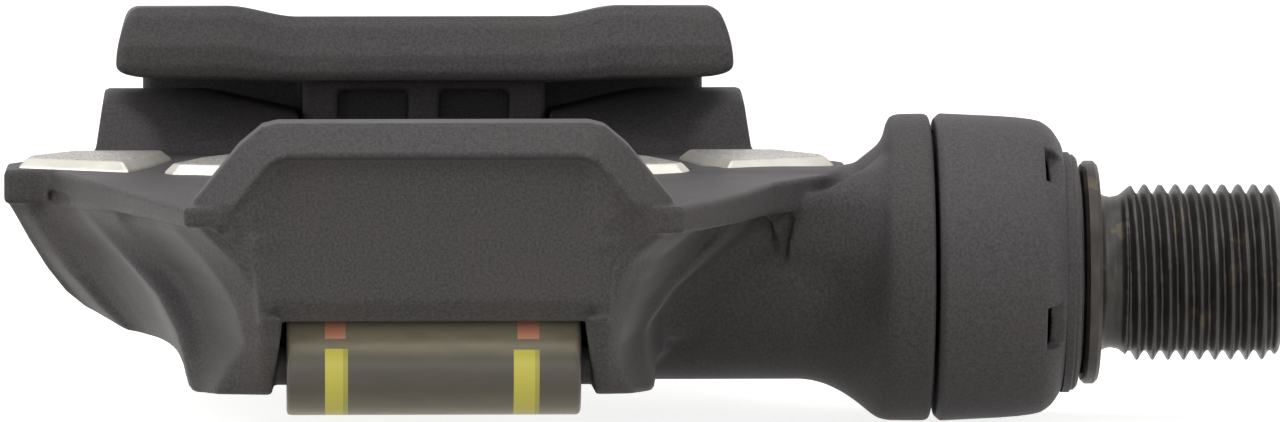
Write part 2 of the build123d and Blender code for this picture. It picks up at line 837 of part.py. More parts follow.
    # hole for the claw pin
    with BuildSketch(Plane.YZ.offset(middle_x)):
        with Locations((pivot_y, pivot_z)):
            Circle(pin_radius + seat_fit)
    extrude(amount=ear_half - pin_inset, both=True, mode=Mode.SUBTRACT)
    # recesses and peg holes of the wear pads
    for outline, pegs in ((outer_pad, outer_pegs), (inner_pad, inner_pegs)):
        with BuildSketch(middle_plane.offset(pad_top)):
            with BuildLine():
                Polyline(*outline, close=True)
            make_face()
            offset(amount=pad_fit, kind=Kind.INTERSECTION)
            mirror(about=Plane.YZ)
        extrude(amount=-pad_thickness, mode=Mode.SUBTRACT)
        with BuildSketch(middle_plane.offset(pad_top - pad_thickness)):
            with Locations(*pegs):
                Circle(peg_radius + pad_fit)
            mirror(about=Plane.YZ)
        extrude(amount=-peg_length - pad_fit, mode=Mode.SUBTRACT)
pedal_body.part.label = "pedal_body"
export_step(pedal_body.part, "parts/pedal_body.step")

# ======================================================================
# Wear pads
# ======================================================================


def wear_pad(outline, pegs, side):
    """One metal pad with its two pegs; side is 1 inboard and -1 outboard."""
    with BuildPart() as pad:
        with BuildSketch(middle_plane.offset(pad_top - pad_thickness)):
            with BuildLine():
                Polyline(*[(side * across, along) for across, along in outline], close=True)
            make_face()
        extrude(amount=pad_thickness)
        chamfer(pad.faces().sort_by(Axis.Z)[-1].edges(), pad_edge)
        with BuildSketch(middle_plane.offset(pad_top - pad_thickness)):
            with Locations(*[(side * across, along) for across, along in pegs]):
                Circle(peg_radius)
        extrude(amount=-peg_length)
    return pad


pad_shapes = {
    "pad_outboard_outer": (outer_pad, outer_pegs, -1),
    "pad_outboard_inner": (inner_pad, inner_pegs, -1),
    "pad_inboard_inner": (inner_pad, inner_pegs, 1),
    "pad_inboard_outer": (outer_pad, outer_pegs, 1),
}
for pad_name, (outline, pegs, side) in pad_shapes.items():
    pad = wear_pad(outline, pegs, side)
    pad.part.label = pad_name
    export_step(pad.part, f"parts/{pad_name}.step")

# ======================================================================
# Rear claw, its pin, bushes and heel shoe
# ======================================================================
bush_radius = pin_radius + running_fit + bush_wall
heel_slope_gap = (heel_radius + shoe_thickness) / cos(radians(keel_slope)) + heel_rest_gap
heel_z = blade_top_z - keel_fall * (heel_y - blade_nose_y) + heel_slope_gap
with BuildPart() as rear_claw:
    # bar with swept ends
    with BuildSketch(middle_plane.offset(claw_bar_bottom)):
        with BuildLine():
            Polyline(
                (0, claw_lip_y),
                (claw_half, claw_lip_y),
                (claw_bar_half, claw_lip_y - claw_sweep),
                (claw_bar_half, claw_bar_rear - claw_sweep),
                (claw_half, claw_bar_rear),
                (0, claw_bar_rear),
                close=True,
            )
        make_face()
        mirror(about=Plane.YZ)
    extrude(amount=claw_end_top - claw_bar_bottom)
    # lower top in the middle of the bar
    with BuildSketch(Plane((middle_x, 0, 0), x_dir=(1, 0, 0), z_dir=(0, -1, 0))):
        with BuildLine():
            Polyline(
                (0, claw_bar_top),
                (claw_half, claw_bar_top),
                (claw_end_half, claw_end_top),
                (0, claw_end_top),
                close=True,
            )
        make_face()
        mirror(about=Plane.YZ)
    extrude(amount=-claw_bar_rear, mode=Mode.SUBTRACT)
    # arm down to the pin and the heel
    with BuildSketch(Plane.YZ.offset(middle_x)):
        with BuildLine():
            Polyline(
                (claw_arm_front, claw_bar_bottom),
                (claw_arm_front, pivot_z + claw_boss_radius),
                (pivot_y - claw_boss_radius, pivot_z),
                (heel_y - heel_radius, heel_z),
                (heel_y + heel_radius, heel_z),
                (claw_bar_rear, pivot_z + claw_boss_radius),
                (claw_arm_rear, claw_bar_bottom),
                close=True,
            )
        make_face()
        with Locations((pivot_y, pivot_z)):
            Circle(claw_boss_radius)
        with Locations((heel_y, heel_z)):
            Circle(heel_radius)
    extrude(amount=claw_half, both=True)
    # two windows in the arm
    with BuildSketch(Plane((middle_x, claw_arm_front, 0), x_dir=(1, 0, 0), z_dir=(0, -1, 0))):
        with Locations(
            (-claw_window_spread, claw_window_top - claw_window_height / 2),
            (claw_window_spread, claw_window_top - claw_window_height / 2),
        ):
            Rectangle(claw_window_width, claw_window_height)
    extrude(amount=claw_arm_front - claw_bar_rear, mode=Mode.SUBTRACT)
    # bore for the bushes
    with BuildSketch(Plane.YZ.offset(middle_x)):
        with Locations((pivot_y, pivot_z)):
            Circle(bush_radius + seat_fit)
    extrude(amount=claw_half, both=True, mode=Mode.SUBTRACT)
rear_claw.part.label = "rear_claw"
export_step(rear_claw.part, "parts/rear_claw.step")

with BuildPart() as claw_bushes:
    for end_x in (middle_x - claw_half, middle_x + claw_half - bush_length):
        with BuildSketch(Plane.YZ.offset(end_x)):
            with Locations((pivot_y, pivot_z)):
                Circle(bush_radius)
                Circle(pin_radius + running_fit, mode=Mode.SUBTRACT)
        extrude(amount=bush_length)
claw_bushes.part.label = "claw_bushes"
export_step(claw_bushes.part, "parts/claw_bushes.step")

with BuildPart() as claw_pin:
    with BuildSketch(Plane.YZ.offset(middle_x)):
        with Locations((pivot_y, pivot_z)):
            Circle(pin_radius)
    extrude(amount=ear_half - pin_inset - side_gap, both=True)
claw_pin.part.label = "claw_pin"
export_step(claw_pin.part, "parts/claw_pin.step")

shoe_outer = heel_radius + shoe_thickness
with BuildPart() as heel_shoe:
    with BuildSketch(Plane.YZ.offset(middle_x)):
        with Locations((heel_y, heel_z)):
            Circle(shoe_outer)
            Circle(heel_radius + seat_fit, mode=Mode.SUBTRACT)
            Rectangle(
                2 * shoe_outer,
                shoe_outer,
                align=(Align.CENTER, Align.MAX),
                mode=Mode.INTERSECT,
            )
    extrude(amount=claw_half, both=True)
heel_shoe.part.label = "heel_shoe"
export_step(heel_shoe.part, "parts/heel_shoe.step")
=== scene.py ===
import json
import math

import bpy
import numpy as np
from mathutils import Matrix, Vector


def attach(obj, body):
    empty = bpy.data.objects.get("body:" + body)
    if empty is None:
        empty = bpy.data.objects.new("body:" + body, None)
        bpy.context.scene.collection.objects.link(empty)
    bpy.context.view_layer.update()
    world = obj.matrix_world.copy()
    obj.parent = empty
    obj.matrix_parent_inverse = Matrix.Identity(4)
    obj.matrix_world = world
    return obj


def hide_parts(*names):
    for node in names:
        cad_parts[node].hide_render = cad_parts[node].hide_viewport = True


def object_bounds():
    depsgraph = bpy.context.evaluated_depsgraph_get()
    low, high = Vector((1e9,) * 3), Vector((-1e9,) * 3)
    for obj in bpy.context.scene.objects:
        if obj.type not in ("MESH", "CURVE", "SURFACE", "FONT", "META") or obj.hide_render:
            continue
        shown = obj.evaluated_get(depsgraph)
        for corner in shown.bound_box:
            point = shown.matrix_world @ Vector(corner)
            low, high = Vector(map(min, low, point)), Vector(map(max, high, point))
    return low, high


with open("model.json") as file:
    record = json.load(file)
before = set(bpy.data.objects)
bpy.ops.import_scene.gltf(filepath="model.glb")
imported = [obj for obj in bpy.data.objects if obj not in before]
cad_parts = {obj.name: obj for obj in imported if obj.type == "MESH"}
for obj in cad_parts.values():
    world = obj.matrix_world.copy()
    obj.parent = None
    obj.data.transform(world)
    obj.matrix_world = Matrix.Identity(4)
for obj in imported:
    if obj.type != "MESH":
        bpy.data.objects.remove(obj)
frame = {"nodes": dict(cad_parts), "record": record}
cad_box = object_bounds()

# ======================================================================
# Sizes, in millimetres, in the part's own frame: +X to the crank, +Y to
# the heel, +Z up.  "across" is the distance from the platform's middle.
# ======================================================================
MM = 0.001
STEP = 0.25
FINE_STEP = 0.15

# ---- platform ----
MIDDLE_X = -54.2
DECK_TOP = 8.3
DECK_BOTTOM = 5.9
DECK_HALF = 34.3
EDGE_STATIONS = [-42.0, -19.0, 0.0]
OUTBOARD_EDGE = [6.75, 6.35, 5.5]   # underside of the deck's edge at these stations
INBOARD_EDGE = [6.2, 5.8, 5.5]
DECK_HEEL = [(DECK_HALF, 11.0), (31.0, 18.0), (27.2, 26.0), (-5.0, 26.0)]
OUTBOARD_DECK = [
    (-5.0, -42.0), (19.3, -42.0), (22.1, -30.8), (26.3, -14.2), (30.4, 2.2), (31.2, 2.6),
    (DECK_HALF, 2.6), *DECK_HEEL,
]
INBOARD_DECK = [
    (-5.0, -42.0), (19.3, -42.0), (21.6, -36.0), (24.6, -26.0), (27.4, -14.7), (29.6, -10.0),
    (30.6, -8.1), (32.2, -5.0), (DECK_HALF, 1.0), *DECK_HEEL,
]
# Underside of the platform as level sections: at each height the (across, Y)
# of the nose block's edge, its bulge, the hollow, the ridge, the start of
# the hull and its widest point.
OUTBOARD_SECTIONS = [
    (7.0, [(18.6, -40.6), (20.4, -34.0), (25.2, -16.2), (28.4, -4.0), (32.6, 3.8), (33.7, 5.0)]),
    (5.6, [(17.0, -41.2), (19.8, -35.0), (24.8, -17.2), (28.1, -5.8), (32.5, 3.8), (33.6, 5.0)]),
    (4.0, [(15.2, -41.8), (18.2, -36.6), (23.2, -18.6), (26.1, -13.6), (31.7, 3.4), (33.0, 6.0)]),
    (2.0, [(13.9, -42.0), (16.6, -38.2), (21.1, -21.6), (23.8, -19.6), (30.3, 2.6), (31.8, 6.0)]),
    (0.0, [(13.4, -42.0), (15.4, -39.4), (19.4, -25.4), (21.7, -24.4), (28.9, 0.0), (30.3, 6.0)]),
    (-2.6, [(13.3, -41.6), (14.8, -39.8), (18.2, -29.4), (20.2, -28.4), (26.6, 0.0), (28.1, 6.0)]),
    (-4.2, [(13.3, -40.4), (16.0, -37.9), (18.3, -31.2), (19.7, -30.8), (25.0, 0.0), (26.2, 6.0)]),
    (-7.5, [(13.3, -37.6), (17.6, -36.2), (18.6, -33.0), (19.1, -31.0), (22.0, -6.0), (24.0, 3.0)]),
]
INBOARD_SECTIONS = [
    (7.0, [(18.6, -41.0), (21.0, -34.6), (24.3, -19.0), (27.0, -16.0), (30.0, -8.6), (33.7, 0.0)]),
    (5.6, [(17.2, -41.3), (19.8, -36.0), (22.9, -17.2), (25.4, -16.2), (26.9, -8.8), (31.0, -5.0)]),
    (4.0, [(15.0, -41.8), (17.4, -37.7), (21.8, -17.2), (24.1, -16.6), (25.8, -8.8), (30.0, -6.0)]),
    (2.0, [(14.2, -42.0), (16.1, -38.7), (19.9, -19.6), (21.6, -19.0), (23.4, -8.8), (28.0, -6.0)]),
    (0.0, [(14.0, -42.0), (15.4, -39.4), (17.8, -23.2), (19.1, -22.8), (21.0, -8.8), (26.0, -6.0)]),
    (-2.6, [(13.2, -41.4), (14.6, -39.7), (16.4, -28.4), (17.0, -28.0), (18.8, -9.0), (24.0, -6.0)]),
    (-4.2, [(13.4, -40.2), (14.8, -38.7), (16.2, -31.6), (17.0, -31.0), (18.4, -9.0), (23.0, -6.0)]),
    (-7.5, [(13.6, -37.6), (16.4, -36.4), (17.4, -33.0), (17.9, -31.0), (18.4, -9.0), (22.0, -6.0)]),
]
# Underside of the hull across the platform, as (across, Z).
OUTBOARD_HULL = [
    (0.0, -4.7), (22.5, -4.7), (24.3, -4.5), (26.2, -3.95), (27.8, -3.1), (29.4, -1.8),
    (30.9, 0.1), (32.4, 2.5), (34.0, 5.4), (34.0, 7.4), (0.0, 7.4),
]
INBOARD_HULL = [
    (0.0, -5.0), (18.0, -5.0), (20.6, -4.2), (23.2, -2.4), (25.8, 0.2), (29.4, 3.2),
    (34.0, 6.0), (34.0, 7.4), (0.0, 7.4),
]
HULL_REAR = 24.0
DIMPLE = (29.7, 6.2)        # small recess in the platform's outboard edge, as (across, Z)
DIMPLE_HALF = (0.9, 0.5)
DIMPLE_DEPTH = 0.45
DIMPLE_REAR = 6.0
OUTBOARD_KEEL = 19.2        # how far across the keel's foot reaches, on each side
INBOARD_KEEL = 18.1
OUTBOARD_LEAN = 0.3         # the foot's side leans out this much per millimetre of height,
INBOARD_LEAN = 0.9
KEEL_LEAN_REACH = 0.8       # and no more than this in all
KEEL_FRONT = -39.0
KEEL_REAR = 27.0
KEEL_FRONT_BOTTOM = -6.55
KEEL_SLOPE = math.tan(math.radians(2.6))
CHANNEL_HALF = 11.8
CHANNEL_SPREAD = 0.14       # the channel widens by this much per millimetre downwards,
CHANNEL_SPREAD_TOP = -1.1   # from this height
TONGUE_LENGTH = 6.0

# ---- nose ----
NOSE_FRONT = -44.0
NOSE_REAR = -36.0
ARCH_TOP = 14.8
ARCH_BAND = 2.4
ARCH_OUTLINE = [
    (-3.0, ARCH_TOP), (12.1, ARCH_TOP), (13.3, 14.5), (15.1, 13.0), (18.6, 8.7),
    (17.3, 6.7), (15.3, 5.2), (13.9, 3.4), (13.5, -0.65), (-3.0, -0.65),
]
PANEL_OUTLINE = [
    (-3.0, 12.35), (11.4, 12.35), (12.6, 11.9), (13.6, 10.9), (16.9, 6.6), (15.6, 4.6),
    (14.6, 4.0), (14.6, -1.2), (-3.0, -1.2),
]
RIM_LEAN = 1.0              # the rim's face leans back this much per millimetre
PANEL_DEPTH = 1.4
PANEL_FLAT_HALF = 11.8      # outside this the panel rises to the rim
CHIN_TOP = 0.95             # below this the panel slopes back to the leaf spring
CHIN_BOTTOM = -0.1
CHIN_SLOPE = 1.0
CHIN_HALF = 13.7            # how far across its slope fades out
RIM_FADE = (4.5, 4.0)       # the rim leans from this height, in full this much higher
SIDE_FADE = (4.6, 1.8)      # and so do the panel's sides rise
PANEL_EDGE = ([5.0, 6.6, 12.0], [14.6, 16.9, 12.7])     # heights, and the panel's reach there
PANEL_SHARE = 0.35          # how much of the panel's depth is left at its sides
BLOCK_HALF = 14.0           # outside this the nose turns back, this much per millimetre
BLOCK_TURN = 0.35
CORNER_FADE = (13.6, 1.5)   # the lower corners step back from here across, over this width,
CORNER_TOP = (7.4, 1.6)     # and down from this height, over this height,
CORNER_BACK = 0.6           # to this far behind the panel
POCKET_HALF = 10.2
POCKET_FLOOR = 8.0
POCKET_FRONT = -40.8
WELL_HALF = 10.6
WELL_REAR = 19.0

# ---- barrel, flare and collar ----
POD_RISE = 0.45
BARREL_RADIUS = 8.6
BOSS_END = MIDDLE_X - OUTBOARD_KEEL
BARREL_X = -21.9
BOSS_FLAT_END = BARREL_X + 2.5      # up to here the boss is cut level with the deck
FLARE_X = -16.9
COLLAR_X = -13.6
COLLAR_RADIUS = 12.45
FLARE_PROFILE = [
    (-27.0, 7.3), (-25.5, 7.9), (-22.6, 9.2), (-20.8, 10.0), (-19.4, 10.95), (-18.1, 12.05),
    (-17.4, 12.35), (-16.4, COLLAR_RADIUS), (0.0, COLLAR_RADIUS),
]
FLARE_CORE = [(0.0, -3.0), (-27.0, -3.0)]       # closes the profile past the axis
FLARE_RADII = [7.5, COLLAR_RADIUS]
FLARE_DELAY = [5.6, 0.8]    # on top, the flare reaches these radii this much nearer the collar
SHELL_HALF = 8.9            # the flare's front, over the barrel, and its rounded corner
SHELL_CORNER = 2.6
SHELL_BOTTOM = 0.35
SHELL_END = BARREL_X + 5.0
WEB_BACK = 8.35             # the web's front where it meets the lip
WEB_FLAT = 0.8              # it turns forward this far from the lip
WEB_HEIGHTS = [3.5, 5.8]    # by these slopes at these heights
WEB_SLOPES = [0.5, 1.8]
LIP_SLOPE = 1.2
# The lip of the flare over the web, and the outline of the web, as (across, Z).
LIP = [(28.4, 0.4), (28.6, 2.9), (29.0, 4.7), (29.8, 6.2), (31.6, 7.9)]
WEB_OUTLINE = [
    (24.6, 7.0), (25.4, 5.7), (26.6, 5.45), (27.5, 4.7), (28.0, 2.6), (28.3, 0.4),
    (30.4, 0.4), (30.6, 2.9), (31.0, 4.7), (31.8, 6.2), (32.6, 7.0),
]
BORES = [
    (BOSS_END + 1.4, BOSS_END + 4.2, 4.97), (BOSS_END + 4.2, -30.35, 6.5),
    (-30.35, -18.35, 7.0), (-18.35, -16.35, 8.0), (-16.35, -10.0, 9.6),
]

# ---- ears and claw ----
PIVOT = (31.0, 1.5)
PIN_RADIUS = 2.0
PIN_INSET = 1.0
EAR_HALF = 27.2
EAR_RADIUS = 11.8
EAR_DROP = 1.8
EAR_OUTLINE = [
    (20.8, DECK_BOTTOM), (20.8, 8.2), (24.4, 14.0), (38.0, 14.0), (38.0, 0.5), (35.6, -3.5),
    (26.5, -3.5),
]
EAR_CREASE = 21.3           # outside this the ear's face turns back, this much per millimetre,
EAR_TURN = 0.8
EAR_TURN_REAR = 31.0        # and the turn fades out up to this Y, over this length
EAR_TURN_FADE = 7
EAR_TAPER_BOTTOM = 8.65     # above this height the ears narrow, this much per millimetre
EAR_TAPER = 0.15
EAR_STEP = (18.5, 8.1)      # inwards from here the ears' tops drop, over this width
REBATE_FRONT = 32.6         # behind this the ear is lower, under the claw's skirt
REBATE_RADIUS = 8.7
SLOT_HALF = 10.4
SLOT_FRONT = 25.7
CLAW_HALF = 10.1
CLAW_BAR_HALF = 25.4
CLAW_BOTTOM = 14.0
CLAW_LIFT = 0.93            # the bar's ends stand this much higher,
CLAW_LIFT_FADE = (10.4, 6)  # rising from here across, over this width,
CLAW_LIFT_HEIGHT = 2.5      # and growing over this height
CLAW_SWEEP = 3.5            # its front reaches this much further forward there,
CLAW_SWEEP_LENGTH = 17      # which fades out over this length, up to the skirt's rear
CLAW_UNDER_RISE = 0.06      # its underside rises this much per millimetre across
CLAW_END_CURVE = (15.5, 0.030, 2.3)     # its ends draw in above this height: factor and power
CLAW_END_UNDER = (22.0, 13.9)           # outside this its underside rises, from this height
CLAW_SECTION = [
    (22.0, 14.0), (19.0, 14.5), (18.6, 15.2), (18.7, 16.6), (19.9, 19.0), (20.9, 19.75),
    (34.8, 19.0), (36.0, 18.0), (36.0, 14.0),
]
CLAW_ARM = [
    (26.0, 16.0), (26.0, 6.1), (26.4, 1.5), (35.0, -6.708), (39.0, -6.708), (36.0, 6.1),
    (34.0, 16.0),
]
SKIRT_HALF = 23.4
SKIRT_FRONT = 33.0
SKIRT_REAR = 36.0
SKIRT_HEIGHTS = (8, 16)
SKIRT_RADIUS = REBATE_RADIUS + 0.4
BOSS_RADIUS = 4.6
BUSH_BORE = 2.94
HEEL = (37.0, -6.708)
HEEL_RADIUS = 2.0
HEEL_CLEARANCE = 9          # beside the arm nothing of the claw is this near the heel,
HEEL_CLEARANCE_TOP = 12     # up to this height
WINDOW_WIDTH = 5.8
WINDOW_SPREAD = 4.2
WINDOW_LOW = 8.9
WINDOW_HIGH = 13.3
WINDOW_REAR = 30.0

# ---- leaf spring ----
BLADE_HALF = 11.45
BLADE_NOSE = (-37.0, -4.4)
BLADE_RADIUS = 3.85
BLADE_THICKNESS = 2.0
BLADE_LEG = 2.5
BLADE_REAR = 39.0
BLADE_GAP = 0.35
MARKS_LENGTH = 12.0         # the marks end this far behind the middle of its curl
# Marks painted on its front: (from, to across, from, to in Z), colour.
YELLOW = (0.60, 0.545, 0.078, 1)
YELLOW_EDGE = (0.41, 0.38, 0.07, 1)
RED = (1.0, 0.44, 0.29, 1)
BLADE_MARKS = [
    ((-8.45, -7.05, -9.5, -2.8), YELLOW), ((-7.05, -6.67, -9.5, -2.8), YELLOW_EDGE),
    ((6.2, 7.85, -9.5, -2.9), YELLOW), ((7.85, 8.2, -9.5, -2.9), YELLOW_EDGE),
    ((-8.45, -6.85, -2.05, -0.4), RED), ((6.5, 8.2, -2.1, -0.4), RED),
]

# ---- wear pads ----
PAD_TOP = 9.1
PAD_BASE = 7.8
PAD_BEVEL = 0.75
PAD_FIT = 0.05
OUTER_PAD = [(33.2, 5.5), (32.9, 9.0), (29.2, 15.4), (20.8, 15.4), (22.4, 6.5), (24.2, -0.4)]
INNER_PAD = [
    (21.3, -1.4), (18.9, 6.5), (15.0, 13.0), (12.0, 13.0), (12.5, -4.8), (17.0, -4.5),
    (20.6, -3.1),
]

# ---- spindle ----
THREAD_RADIUS = 25.4 * 9 / 16 / 2
THREAD_PITCH = 25.4 / 20
THREAD_START = 2.35
THREAD_END = 14.75
THREAD_DEPTH = 0.6134 * THREAD_PITCH
THREAD_CHAMFER = 0.7
FLANK = math.tan(math.radians(30))
KEY_FLATS = 8.0
KEY_DEPTH = 7.0
SPINDLE_PROFILE = [
    (-71.7, -3.0), (-71.7, 2.3), (-71.5, 2.5), (-69.2, 2.5), (-69.2, 3.0), (-59.2, 3.0),
    (-59.2, 4.6), (-30.5, 4.6), (-30.5, 5.0), (-18.2, 5.0), (-18.2, 6.5), (-13.25, 6.5),
    (-13.25, 7.5), (-4.1, 7.5), (-4.1, 7.9), (-1.7, 7.9), (-1.7, 8.4), (-1.5, 8.4),
    (-1.3, 8.2), (-1.3, 7.15), (0.0, 7.15), (0.1, 6.6), (0.5, 6.25), (1.1, 6.1), (1.8, 6.25),
    (THREAD_START, 6.7), (THREAD_START + 0.5, THREAD_RADIUS),
    (THREAD_END - THREAD_CHAMFER, THREAD_RADIUS), (THREAD_END, THREAD_RADIUS - THREAD_CHAMFER),
    (THREAD_END, -3.0),
]

# ---- washer, ring and pod ----
WASHER_PROFILE = [
    (-1.3, 7.17), (-1.3, 8.75), (-1.0, 9.05), (-0.3, 9.05), (0.0, 8.75), (0.0, 7.17),
]
RING_PROFILE = [
    (-2.9, 7.92), (-2.9, 9.75), (-2.3, 9.75), (-2.15, 9.55), (-1.95, 9.55), (-1.7, 9.3),
    (-1.7, 7.92),
]
POD_RADIUS = 12.5
POD_BORE = 10.9
POD_BACK = -13.25
POD_FACE = -2.9
POD_TAPER = 0.4
POD_SHOULDER = 2.2
SEAT_RADIUS = 7.91
NOTCH_COUNT = 5
NOTCH_WIDTH = 3.8
NOTCH_LENGTH = 1.7
NOTCH_DEPTH = 1.9
NOTCH_TURN = -22.0


# ======================================================================
# Signed distances, in millimetres, negative inside.  The distance to a
# leaning face is scaled down, so that its rounded edges stay small.
# ======================================================================
def polygon(px, py, points):
    """Distance to a closed polygon in the plane."""
    nearest, inside = None, False
    for (ax, ay), (bx, by) in zip(points, points[1:] + points[:1]):
        ex, ey = bx - ax, by - ay
        wx, wy = px - ax, py - ay
        t = np.clip((wx * ex + wy * ey) / (ex * ex + ey * ey), 0, 1)
        gap = (wx - ex * t) ** 2 + (wy - ey * t) ** 2
        nearest = gap if nearest is None else np.minimum(nearest, gap)
        if ay != by:
            crosses = (ay > py) != (by > py)
            inside = inside ^ (crosses & (px < ax + wy * ex / ey))
    return np.where(inside, -1, 1) * np.sqrt(nearest)


def slab(v, low, high):
    """Distance to the space between two parallel planes."""
    return np.maximum(low - v, v - high)


def circle(u, v, centre, radius):
    """Distance to a circle."""
    return np.hypot(u - centre[0], v - centre[1]) - radius


def both(a, b, r):
    """What is inside a and b, with its outer edge rounded by r."""
    return np.minimum(-r, np.maximum(a, b)) + np.hypot(np.maximum(a + r, 0), np.maximum(b + r, 0))


def either(a, b, r):
    """What is inside a or b, with a fillet of radius r between them."""
    return np.maximum(r, np.minimum(a, b)) - np.hypot(np.maximum(r - a, 0), np.maximum(r - b, 0))


def without(a, b, r):
    """What is inside a and outside b, with its edge rounded by r."""
    return both(a, -b, r)


def ease(t):
    """A smooth step from 0 to 1."""
    t = np.clip(t, 0, 1)
    return t * t * (3 - 2 * t)


def smooth_steps(points, steps):
    """An open line through the points, with each corner turned into a curve."""
    line = np.array(points, float)
    for _ in range(steps):
        first = line[:-1] * 0.75 + line[1:] * 0.25
        second = line[:-1] * 0.25 + line[1:] * 0.75
        line = np.concatenate([line[:1], np.stack([first, second], 1).reshape(-1, 2), line[-1:]])
    return [tuple(p) for p in line]


class FrontMap:
    """The Y of a surface seen from the front, worked out from level sections."""

    def __init__(self, sections, blur):
        self.step = 0.1
        self.across = np.arange(0, 37, self.step)
        self.heights = np.arange(-13, 9, self.step)
        levels = np.array([level for level, _ in sections])[::-1]
        tables = np.array([points for _, points in sections], float)[::-1]
        rows = []
        for height in self.heights:
            knots = [
                [np.interp(height, levels, tables[:, k, axis]) for k in range(tables.shape[1])]
                for axis in (0, 1)
            ]
            rows.append(np.interp(self.across, *self.hollowed(*knots)))
        self.depth = np.array(rows).T
        reach = int(3 * blur / self.step)
        taps = np.exp(-0.5 * (np.arange(-reach, reach + 1) * self.step / blur) ** 2)
        taps /= taps.sum()
        for axis in (0, 1):
            self.depth = np.apply_along_axis(
                lambda v: np.convolve(np.pad(v, reach, mode="edge"), taps, "valid"),
                axis, self.depth,
            )
        self.slope = np.sqrt(1 + sum(g**2 for g in np.gradient(self.depth, self.step)))

    @staticmethod
    def hollowed(across, depth):
        """The line through the knots, hollow in front of the bulge and beside the ridge."""
        line = [(across[0], depth[0]), (across[1], depth[1])]
        for t in (0.85, 0.7, 0.5, 0.3, 0.15):
            line.append((
                across[2] + (across[1] - across[2]) * t,
                depth[2] + (depth[1] - depth[2]) * t**1.5,
            ))
        line += [(across[2], depth[2]), (across[3], depth[3])]
        turn = math.radians(78)
        for t in (0.92, 0.84, 0.72, 0.6, 0.45, 0.3, 0.15):
            line.append((
                across[4] + (across[3] - across[4]) * math.sin(turn * t) / math.sin(turn),
                depth[4] + (depth[3] - depth[4]) * (1 - math.cos(turn * t)) / (1 - math.cos(turn)),
            ))
        line += [(across[4], depth[4]), (across[5], depth[5])]
        return np.array(line).T

    def field(self, across, y, z):
        """Distance to the space behind the surface."""
        i = np.clip((across - self.across[0]) / self.step, 0, len(self.across) - 1.001)
        k = np.clip((z - self.heights[0]) / self.step, 0, len(self.heights) - 1.001)
        i, k = np.broadcast_arrays(i, k)
        i0, k0 = i.astype(int), k.astype(int)
        ti, tk = i - i0, k - k0
        values = []
        for table in (self.depth, self.slope):
            low = table[i0, k0] * (1 - ti) + table[i0 + 1, k0] * ti
            high = table[i0, k0 + 1] * (1 - ti) + table[i0 + 1, k0 + 1] * ti
            values.append(low * (1 - tk) + high * tk)
        return (values[0] - y) / values[1]


# ======================================================================
# From distances to a mesh
# ======================================================================
def grid_mesh(name, field, low, high, step):
    """The surface where field(x, y, z) is zero, as a smooth mesh of quads in metres."""
    axes = [np.arange(a, b + step, step, dtype=np.float32) for a, b in zip(low, high)]
    values = field(
        axes[0][:, None, None], axes[1][None, :, None], axes[2][None, None, :]
    ).astype(np.float32)
    inside = values < 0
    corners = [(a, b, c) for a in (0, 1) for b in (0, 1) for c in (0, 1)]
    cut = [slice(0, -1), slice(1, None)]
    filled = sum(inside[cut[a], cut[b], cut[c]].astype(np.int8) for a, b, c in corners)
    mixed = (filled > 0) & (filled < 8)
    cells = np.argwhere(mixed)
    at = {
        c: values[cells[:, 0] + c[0], cells[:, 1] + c[1], cells[:, 2] + c[2]] for c in corners
    }
    total = np.zeros((len(cells), 3))
    hits = np.zeros(len(cells))
    for c in corners:
        for axis in range(3):
            if c[axis] == 0:
                d = tuple(1 if k == axis else c[k] for k in range(3))
                first, second = at[c], at[d]
                crossed = (first < 0) != (second < 0)
                share = np.where(crossed, first / np.where(crossed, first - second, 1), 0)
                for k in range(3):
                    total[:, k] += crossed * (c[k] + (share if k == axis else 0))
                hits += crossed
    points = (cells + total / hits[:, None]) * step + np.array(low)
    number = np.full(mixed.shape, -1, np.int64)
    number[mixed] = np.arange(len(cells))
    quads = []
    for axis in range(3):
        u, v = [k for k in range(3) if k != axis]
        first = np.take(inside, range(0, inside.shape[axis] - 1), axis)
        second = np.take(inside, range(1, inside.shape[axis]), axis)
        for leaves in (True, False):
            found = np.argwhere((first == leaves) & (second != leaves))
            size = mixed.shape
            keep = (
                (found[:, u] > 0) & (found[:, v] > 0)
                & (found[:, u] < size[u]) & (found[:, v] < size[v])
            )
            found = found[keep]
            ring = []
            for du, dv in ((1, 1), (0, 1), (0, 0), (1, 0)):
                cell = found.copy()
                cell[:, u] -= du
                cell[:, v] -= dv
                ring.append(number[cell[:, 0], cell[:, 1], cell[:, 2]])
            turn = leaves == (axis != 1)
            quads.append(np.stack(ring if turn else ring[::-1], 1))
    return fast_mesh(name, points * MM, np.concatenate(quads))


def fast_mesh(name, points, quads):
    """A smooth-shaded mesh object from arrays of points and quads."""
    mesh = bpy.data.meshes.new(name)
    mesh.vertices.add(len(points))
    mesh.vertices.foreach_set("co", points.astype(np.float32).ravel())
    mesh.loops.add(quads.size)
    mesh.loops.foreach_set("vertex_index", quads.astype(np.int32).ravel())
    mesh.polygons.add(len(quads))
    mesh.polygons.foreach_set("loop_start", np.arange(0, quads.size, 4, dtype=np.int32))
    mesh.polygons.foreach_set("use_smooth", np.ones(len(quads), bool))
    mesh.update(calc_edges=True)
    mesh.validate()
    obj = bpy.data.objects.new(name, mesh)
    bpy.context.scene.collection.objects.link(obj)
    return obj


